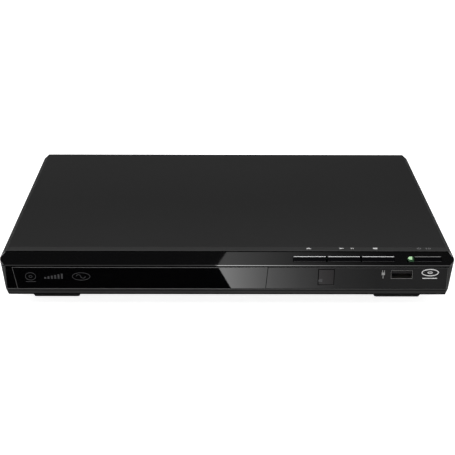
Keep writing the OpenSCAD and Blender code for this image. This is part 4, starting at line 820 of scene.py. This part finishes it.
# USB socket: a folded nickel-plated shell, a black tongue and the tongue's four gilded contacts.
# The shell's inner walls and back are painted dark as shade, in the same dark finish as the tongue.
# It is soldered behind its opening in the face.
shell_finish = metal("plated shell", (0.27, 0.265, 0.26), 0.35, (60, 600, 600))
shaded_inside_finish = metal("painted shade shell inside", grey(0.03), 0.5, (60, 600, 600))
gilt_finish = metal("gilt contact", (0.75, 0.55, 0.22), 0.25)
shell_t, gilt_pitch, gilt_w, gilt_low, gilt_high = 0.45, 2.4, 1.0, 0.08, 0.25
gilt_tip, gilt_foot = 1.8, 8.0
low, high = box_of("usb_socket")
shell = welded("usb_socket")
# Faces inside the shell take the dark finish, which paints the shade of the socket's depth.
for face in shell.faces:
    place = face.calc_center_median() / MM
    inner = (low.x + shell_t < place.x < high.x - shell_t
             and low.z + shell_t < place.z < high.z - shell_t and place.y > low.y + shell_t)
    face.material_index = 1 if inner else 0
rounded(shell, width=0.1)
stand_in("usb_socket", shell, [shell_finish, shaded_inside_finish], "case")
contacts = bmesh.new()
middle = (low + high) / 2
for i in range(4):
    x = middle.x + (i - 1.5) * gilt_pitch
    box_in(contacts, (x - gilt_w / 2, low.y + gilt_tip, middle.z + gilt_low),
           (x + gilt_w / 2, low.y + gilt_foot, middle.z + gilt_high))
shown("usb_contacts", contacts, [gilt_finish], "case")


# Gloss panels: the sloped band, the face to the right of the door and the strip to its left are
# moulded in polished black and clipped to the front frame. The face's upper edge and right end are
# rounded and painted a matte grey as a highlight, dimmer along the upper edge.
def make_polish():
    """A polished moulding: a very slow waviness, and faint wiping marks in its gloss."""
    group, given = new_group("polished moulding", "Roughness", "Spread", "Depth")
    place = own_place(group)
    waves, wipes = cloudy(group, place, 60.0, 1.0), cloudy(group, place, 260.0, 4.0, 1.5)
    return put_out(group, {"Roughness": uneven(group, given, wipes),
                           "Normal": relief(group, given, waves)})


polish_group = make_polish()
wipe_spread, wave_depth = 0.4, 0.002


def polished(name, colour, roughness, specular=0.5):
    """Gloss plastic: plain colour, with its gloss broken a little by wiping and waviness."""
    finish = new_finish(name, colour, roughness, specular=specular)
    polish = laid(finish, polish_group, {"Roughness": roughness, "Spread": wipe_spread,
                                         "Depth": wave_depth * MM})
    on_shader(finish, {"Roughness": polish["Roughness"], "Normal": polish["Normal"]})
    return finish


gloss_finish = polished("gloss black", (0.0012, 0.0012, 0.0014), 0.045)
ridge_finish = polished("ridge gloss", grey(0.004), 0.05, specular=1.0)
# Two matte greys paint highlights on rounded gloss edges, the second one dimmer.
bright_edge_highlight = polished("bright painted edge highlight", grey(0.09), 0.5, specular=0.2)
dim_edge_highlight = polished("dim painted edge highlight", grey(0.045), 0.5, specular=0.1)
ridge_y, ridge_z, ridge_width, gloss_round = -103.5, 29.78, 0.3, 0.15
face_y, face_top, face_sag, panel_right, seam_width = -101.0, 28.9, 0.3, 131.6, 0.45
face_lean = widest_flat("lower_panel", (0, -1, 0))[1]
settled_top = (face_top, face_sag, -face_lean.z / face_lean.y)


def on_ridge(p):
    """The front edge of the sloped band, which catches the light."""
    return same(p.y, ridge_y) and same(p.z, ridge_z)


def on_seam(p):
    """The upper edge of the gloss face."""
    return p.y < face_y and same(p.z, face_top - face_sag)


def on_panel_edge(p):
    """The upper edge and the right end of the face beside the door."""
    return on_seam(p) or (p.y < face_y and same(p.x, panel_right))


def seam_or_end(p):
    """The number of the upper edge's dim painted highlight, or of the right end's brighter one."""
    return 2 if p.x < panel_right - seam_width else 1


eased("upper_band", "case", [gloss_finish, ridge_finish], gloss_round, 3, least=35,
      special=[(on_ridge, ridge_width, lambda p: 1)])
# The face's upper edge and right end carry painted highlights.
eased("lower_panel", "case", [gloss_finish, bright_edge_highlight, dim_edge_highlight],
      gloss_round, 3, special=[(on_panel_edge, seam_width, seam_or_end)], settled=settled_top)
eased("left_trim", "case", [gloss_finish], gloss_round, 3)


# Infrared window and power lens: a dark clear window set flush in the face, and a small green
# lens like an arrow beside the power key, lit from behind by the lamp.
window_finish = polished("infrared window", (0.004, 0.0022, 0.003), 0.05, specular=0.55)
shut_finish = moulded("shut line", grey(0.001), 0.6, grain=0.4, depth=0.002, specular=0.05, edge_lighten=0.0)
eased("ir_window", "case", [window_finish, shut_finish], width=0.12,
      special=[(lambda p: p.y < face_y, 0.32, lambda p: 1)])

lens_rim = polished("green lens rim", (0.015, 0.05, 0.02), 0.2)
lamp_finish = polished("lit green lens", (0.38, 0.6, 0.35), 0.12)
on_shader(lamp_finish, {"Emission Color": (0.5, 0.9, 0.42, 1), "Emission Strength": 0.1})
lamp_inset, lamp_raised, lamp_up, lamp_left = 0.65, 0.1, 0.65, 0.5
lens = welded("power_lens")
rounded(lens, width=0.12)
lit_face = max((f for f in lens.faces if f.normal.y < -0.5 and f.normal.z > 0.5),
               key=lambda f: f.calc_area())
bmesh.ops.inset_region(lens, faces=[lit_face], thickness=lamp_inset * MM, depth=lamp_raised * MM)
lit_face.material_index = 1
right = Vector((1, 0, 0))
for corner in lit_face.verts:
    corner.co += (lamp_up * lit_face.normal.cross(right) - lamp_left * right) * MM
stand_in("power_lens", lens, [lens_rim, lamp_finish], "case")


# Keys: three joined keys and the power key, black, each with a pale bar along its upper edge that
# is a painted highlight, dimmer on the power key, and a fainter painted highlight on its lower rim.
# They press square into the sloped band against their switches.
key_finish = polished("key black", (0.0015, 0.0015, 0.002), 0.25, specular=0.05)
# The rim finish paints a faint highlight on each key's lower rim. The bar finishes paint the
# highlight on its upper edge, dimmer for the power key.
rim_highlight_finish = moulded("painted highlight key rim", grey(0.04), 0.4, grain=0.2, depth=0.001, specular=0.2)
bright_bar_highlight, dim_bar_highlight = (
    moulded(name, colour, 0.4, depth=0.0005, tone=0.04, edge_lighten=0.0)
    for name, colour in (("bright painted highlight bar", (0.7, 0.7, 0.71)), ("dim painted highlight bar", grey(0.2))))
rim_width, rim_foot = 0.18, 0.2
bar_width, bar_proud, bar_sunk, bar_short, bar_round = 0.34, 0.12, 0.3, 0.25, 0.07


def key(name, body, bar_highlight_finish):
    """A key with rounded rims, a painted highlight on its lower rim, and a bar let into its upper
    edge that carries a painted highlight.
    """
    mesh = welded(name)
    out = widest_flat(name, (0, -0.7, 0.7))[1]
    up = out.cross(Vector((1, 0, 0)))
    up = up if up.z > 0 else -up
    front = max(v.co.dot(out) for v in mesh.verts)
    rim = [v.co.copy() for v in mesh.verts if v.co.dot(out) > front - 1e-6]
    top, foot = max(p.dot(up) for p in rim), min(p.dot(up) for p in rim)
    ends = [p.x for p in rim if p.dot(up) > top - 1e-5]
    edges = [e for e in sharp_edges(mesh, 40)
             if all(v.co.dot(out) > front - 1e-6 for v in e.verts)]
    # The lower rim's rounds take the painted highlight.
    for face in bmesh.ops.bevel(mesh, geom=edges, offset=rim_width * MM, segments=2,
                                affect="EDGES", clamp_overlap=True, material=0)["faces"]:
        if face.calc_center_median().dot(up) < foot + rim_foot * MM:
            face.material_index = 2
    # A thin bar along the upper edge carries the painted highlight.
    corners = box_in(mesh, (-1, -1, -1), (1, 1, 1))
    for corner in corners:
        across, along, deep = corner.co
        x = max(ends) - bar_short * MM if across > 0 else min(ends) + bar_short * MM
        height = top if along > 0 else top - bar_width * MM
        depth = front + (bar_proud if deep > 0 else -bar_sunk) * MM
        corner.co = Vector((x, 0, 0)) + up * height + out * depth
    bar_faces = each_once(f for v in corners for f in v.link_faces)
    bmesh.ops.recalc_face_normals(mesh, faces=bar_faces)
    for face in bar_faces:
        face.material_index = 1
    bmesh.ops.bevel(mesh, geom=each_once(e for f in bar_faces for e in f.edges),
                    offset=bar_round * MM, segments=2, affect="EDGES", clamp_overlap=True,
                    material=1)
    stand_in(name, mesh, [key_finish, bar_highlight_finish, rim_highlight_finish], body)


key("key_open", "open_key", bright_bar_highlight)
key("key_play", "play_key", bright_bar_highlight)
key("key_stop", "stop_key", bright_bar_highlight)
key("key_power", "power_key", dim_bar_highlight)


# Tray door: a long gloss black moulding clipped to the tray's front, with raked ends, and three
# faint grey pictograms near its left end.
door_left, door_mark_z, disc_x, bars_x, oval_x = -120.0, 22.2, -117.1, -103.4, -87.0


def on_door_edge(p):
    """The upper edge and the left end of the door."""
    return on_seam(p) or (p.y < face_y and p.x < door_left)


# The door's upper edge and left end carry a painted highlight.
eased("tray_door", "tray", [gloss_finish, bright_edge_highlight], gloss_round, 3,
      special=[(on_door_edge, seam_width, lambda p: 1)], settled=settled_top)
door_flat = widest_flat("tray_door", (0, -1, 0))
door_row = door_mark_z - door_flat[0].z / MM
disc_mark = ring(0, 0, 3.2, 2.7, 0.3) + ring(0, 0, 1.1, 0.9, 0.3) + bar(-3.0, -3.7, 3.0, -3.4)
bars_mark = [shape for i in range(6)
             for shape in bar(-5.6 + 2.0 * i, -1.6, -4.5 + 2.0 * i, -0.4 + 0.45 * i)]
oval_mark = (ring(0, 0, 5.4, 2.7, 0.3) + ring(-1.6, 0, 1.5, 1.3, 0.3, 0, 180)
             + ring(1.1, 0, 1.5, 1.3, 0.3, 180, 180))
printed("disc_mark", disc_mark, door_flat, disc_x, door_row, "tray", faint_ink)
printed("bars_mark", bars_mark, door_flat, bars_x, door_row, "tray", faint_ink)
printed("oval_mark", oval_mark, door_flat, oval_x, door_row, "tray", faint_ink)


# Face marks: a plug pictogram beside the socket, a disc pictogram at the right end and a small
# square in the window. They are printed like the others.
face_mark_z, window_mark_z, plug_x, round_x, window_x = 24.2, 19.6, 92.9, 120.8, 55.6
face_flat = widest_flat("lower_panel", (0, -1, 0))
face_row = face_mark_z - face_flat[0].z / MM
plug_mark = (bar(-0.2, -3.2, 0.2, -0.8) + bar(-1.0, -0.8, 1.0, 0.9) + bar(-0.75, 0.9, -0.4, 2.4)
             + bar(0.4, 0.9, 0.75, 2.4))
round_mark = (ring(0, 0.9, 5.2, 2.5, 0.65) + ring(0, 0.9, 1.6, 0.8, 0.5)
              + bar(-4.4, -3.3, 4.4, -2.7))
printed("plug_mark", plug_mark, face_flat, plug_x, face_row, "case", grey_ink)
printed("round_mark", round_mark, face_flat, round_x, face_row, "case", white_ink)
window_flat = widest_flat("ir_window", (0, -1, 0))
printed("window_mark", bar(-1.1, -0.9, 1.1, 0.9), window_flat, window_x,
        window_mark_z - window_flat[0].z / MM, "case", faint_ink)


# Cover: one sheet of steel folded over the top and sides, sprayed in fine matte black and held
# by screws at its sides and rear.
cover_finish = moulded("cover paint", grey(0.026), 0.6, grain=0.22, depth=0.006, tone=0.08,
                       specular=0.15, edge_lighten=1.0)
eased("top_cover", "case", [cover_finish], width=0.3, segments=3)
dress(metal("blackened steel", grey(0.06), 0.35), "case_screws")


# Floor and light: a white floor and surround, which the camera sees as plain white, and one
# wide soft lamp above the player and in front of it.
floor_size, floor_colour, floor_glow = 6.0, grey(0.86), 0.86
white = (1, 1, 1, 1)
floor_finish = new_finish("white floor", floor_colour, 0.9, specular=0.1)
floor_tree = floor_finish.node_tree
ray = add_node(floor_tree, "LightPath").outputs
glow = add_node(floor_tree, "Emission", {
    "Color": white, "Strength": reckoned(floor_tree, "MULTIPLY", ray["Is Camera Ray"], floor_glow)})
lit = add_node(floor_tree, "AddShader", {0: floor_tree.nodes["Principled BSDF"].outputs[0],
                                         1: glow.outputs[0]})
feed(floor_tree, floor_tree.nodes["Material Output"].inputs, {"Surface": lit.outputs[0]})
floor_mesh = bmesh.new()
bmesh.ops.create_grid(floor_mesh, x_segments=1, y_segments=1, size=floor_size / 2)
made("floor", floor_mesh, [floor_finish])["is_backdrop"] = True

light_level, shown_level = 0.48, 1.0
world = bpy.data.worlds.new("studio")
world.use_nodes = True
bpy.context.scene.world = world
sky = world.node_tree
ray = add_node(sky, "LightPath").outputs
seen = reckoned(sky, "MAXIMUM", reckoned(sky, "MAXIMUM", ray["Is Camera Ray"],
                                         ray["Is Glossy Ray"]), ray["Is Transmission Ray"])
feed(sky, sky.nodes["Background"].inputs, {
    "Color": white, "Strength": mixed(sky, seen, light_level, shown_level)})

softbox = bpy.data.objects.new("softbox", bpy.data.lights.new("softbox", "AREA"))
softbox.data.shape = "RECTANGLE"
softbox.data.size, softbox.data.size_y = 1.4, 0.6
softbox.data.energy = 8.0
softbox.location = (-0.15, -0.6, 0.8)
softbox.rotation_euler = (math.radians(37), 0, 0)
softbox.visible_glossy = False
bpy.context.collection.objects.link(softbox)


# Reflector cards: only polished surfaces see them. Black cards keep the gloss panels dark, and
# three bright ones, fading to the right, lay a slanted gleam across the face and the band.
def card(name, corners, level=0.0, ramp=(), start=0.0, end=1.0):
    """A flat card that only glossy rays see: even, or fading along X between two places."""
    finish = bpy.data.materials.new(name)
    finish.use_nodes = True
    tree = finish.node_tree
    tree.nodes.remove(tree.nodes["Principled BSDF"])
    strength = level
    if ramp:
        along = add_node(tree, "SeparateXYZ", {0: own_place(tree)}).outputs[0]
        share = add_node(tree, "MapRange", {"Value": along, "From Min": start, "From Max": end})
        fade = add_node(tree, "ValToRGB", {0: share.outputs[0]})
        stops = fade.color_ramp.elements
        while len(stops) < len(ramp):
            stops.new(0.5)
        top = max(value for _, value in ramp)
        for stop, (at, value) in zip(stops, ramp):
            stop.position = at
            stop.color = (*grey(value / top), 1)
        strength = reckoned(tree, "MULTIPLY", fade.outputs[0], top)
    glow = add_node(tree, "Emission", {"Color": white, "Strength": strength})
    feed(tree, tree.nodes["Material Output"].inputs, {"Surface": glow.outputs[0]})
    mesh = bmesh.new()
    mesh.faces.new([mesh.verts.new(c) for c in corners])
    piece = made(name, mesh, [finish])
    piece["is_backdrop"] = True
    for kind in ("camera", "diffuse", "shadow", "transmission", "volume_scatter"):
        setattr(piece, "visible_" + kind, False)


def level_corners(first, second, right, height):
    """The corners of a level card, from the two ends of its left edge to its right side."""
    return [(first[0], first[1], height), (right, first[1], height),
            (right, second[1], height), (second[0], second[1], height)]


def upright_corners(left, right, y, low, high):
    """The corners of an upright card."""
    return [(left, y, low), (right, y, low), (right, y, high), (left, y, high)]


def mirrored(flat, x, z, height):
    """Where the line of sight to a point of a polished flat, turned by it, reaches a height. The
    point is given in mm."""
    middle, normal = flat
    rise = normal.x * (x * MM - middle.x) + normal.z * (z * MM - middle.z)
    point = Vector((x * MM, middle.y - rise / normal.y, z * MM))
    sight = (point - camera_at).normalized()
    way = sight - 2 * sight.dot(normal) * normal
    return point + way * ((height - point.z) / way.z)


# The black floor card in front, and the bright one over it, to the right of a slanting edge
# that is given by two of its places on the face.
card_side = 0.5
flag_height, flag_gap, flag_end = 0.3 * MM, 0.5 * MM, -1.4
flag_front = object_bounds()[0].y - flag_gap
card("front_flag", level_corners((-card_side, flag_front), (-card_side, flag_end), card_side,
                                 flag_height))
face_edge, gleam_height, gleam_right = ((-5.44, 28.9), (2.47, 14.0)), 0.8 * MM, 0.30
gleam_back, gleam_front = 2 * MM, 3 * MM
gleam_top, gleam_foot = (mirrored(face_flat, x, z, gleam_height) for x, z in face_edge)
slant = (gleam_top - gleam_foot) / (gleam_foot.y - gleam_top.y)
card("face_gleam",
     level_corners(gleam_foot - slant * gleam_back, gleam_top + slant * gleam_front,
                   gleam_right, gleam_height),
     ramp=((0.0, 4.4), (0.09, 3.2), (0.16, 2.4), (0.23, 1.8), (0.35, 1.15), (0.52, 0.58),
           (0.72, 0.40)),
     start=-0.001, end=0.130)

# The same over the band: a dim card above and a bright one just under it.
band_flat = widest_flat("upper_band", (0, -0.7, 0.7))
band_edge, band_height, band_gap = ((-0.5, 36.2), (-5.71, 29.94)), 0.14, 2 * MM
band_back, band_front, band_level, band_flag_back, band_flag_front = 0.1, -0.6, 0.065, 0.05, -0.9
band_top, band_foot = (mirrored(band_flat, x, z, band_height) for x, z in band_edge)
lean = (band_foot - band_top) / (band_foot.y - band_top.y)
card("band_flag",
     level_corners((-card_side, band_flag_back), (-card_side, band_flag_front), card_side,
                   band_height + band_gap),
     level=band_level)
card("band_gleam",
     level_corners(band_top + lean * (band_back - band_top.y),
                   band_foot + lean * (band_front - band_foot.y), card_side, band_height),
     ramp=((0.0, 1.35), (0.09, 1.1), (0.2, 0.8), (0.33, 0.5), (0.5, 0.25), (0.72, 0.08)),
     end=0.154)

# An upright card in front lights the rounded ridge, from the same slanting edge to the right.
card("ridge_gleam", upright_corners(left=-0.2, right=0.25, y=-0.24, low=0.001, high=0.26),
     ramp=((0.0, 0.4), (0.2175, 0.4), (0.218, 6.5), (0.33, 5.3), (0.53, 2.8), (0.68, 1.8),
           (0.85, 1.3), (1.0, 1.1)),
     start=-0.05, end=0.15)

# A tall black card behind keeps the grazing gloss of the cover down.
card("rear_flag", upright_corners(left=-1.2, right=1.2, y=0.6, low=0.02, high=1.2))

bpy.context.scene.view_settings.view_transform = "Standard"
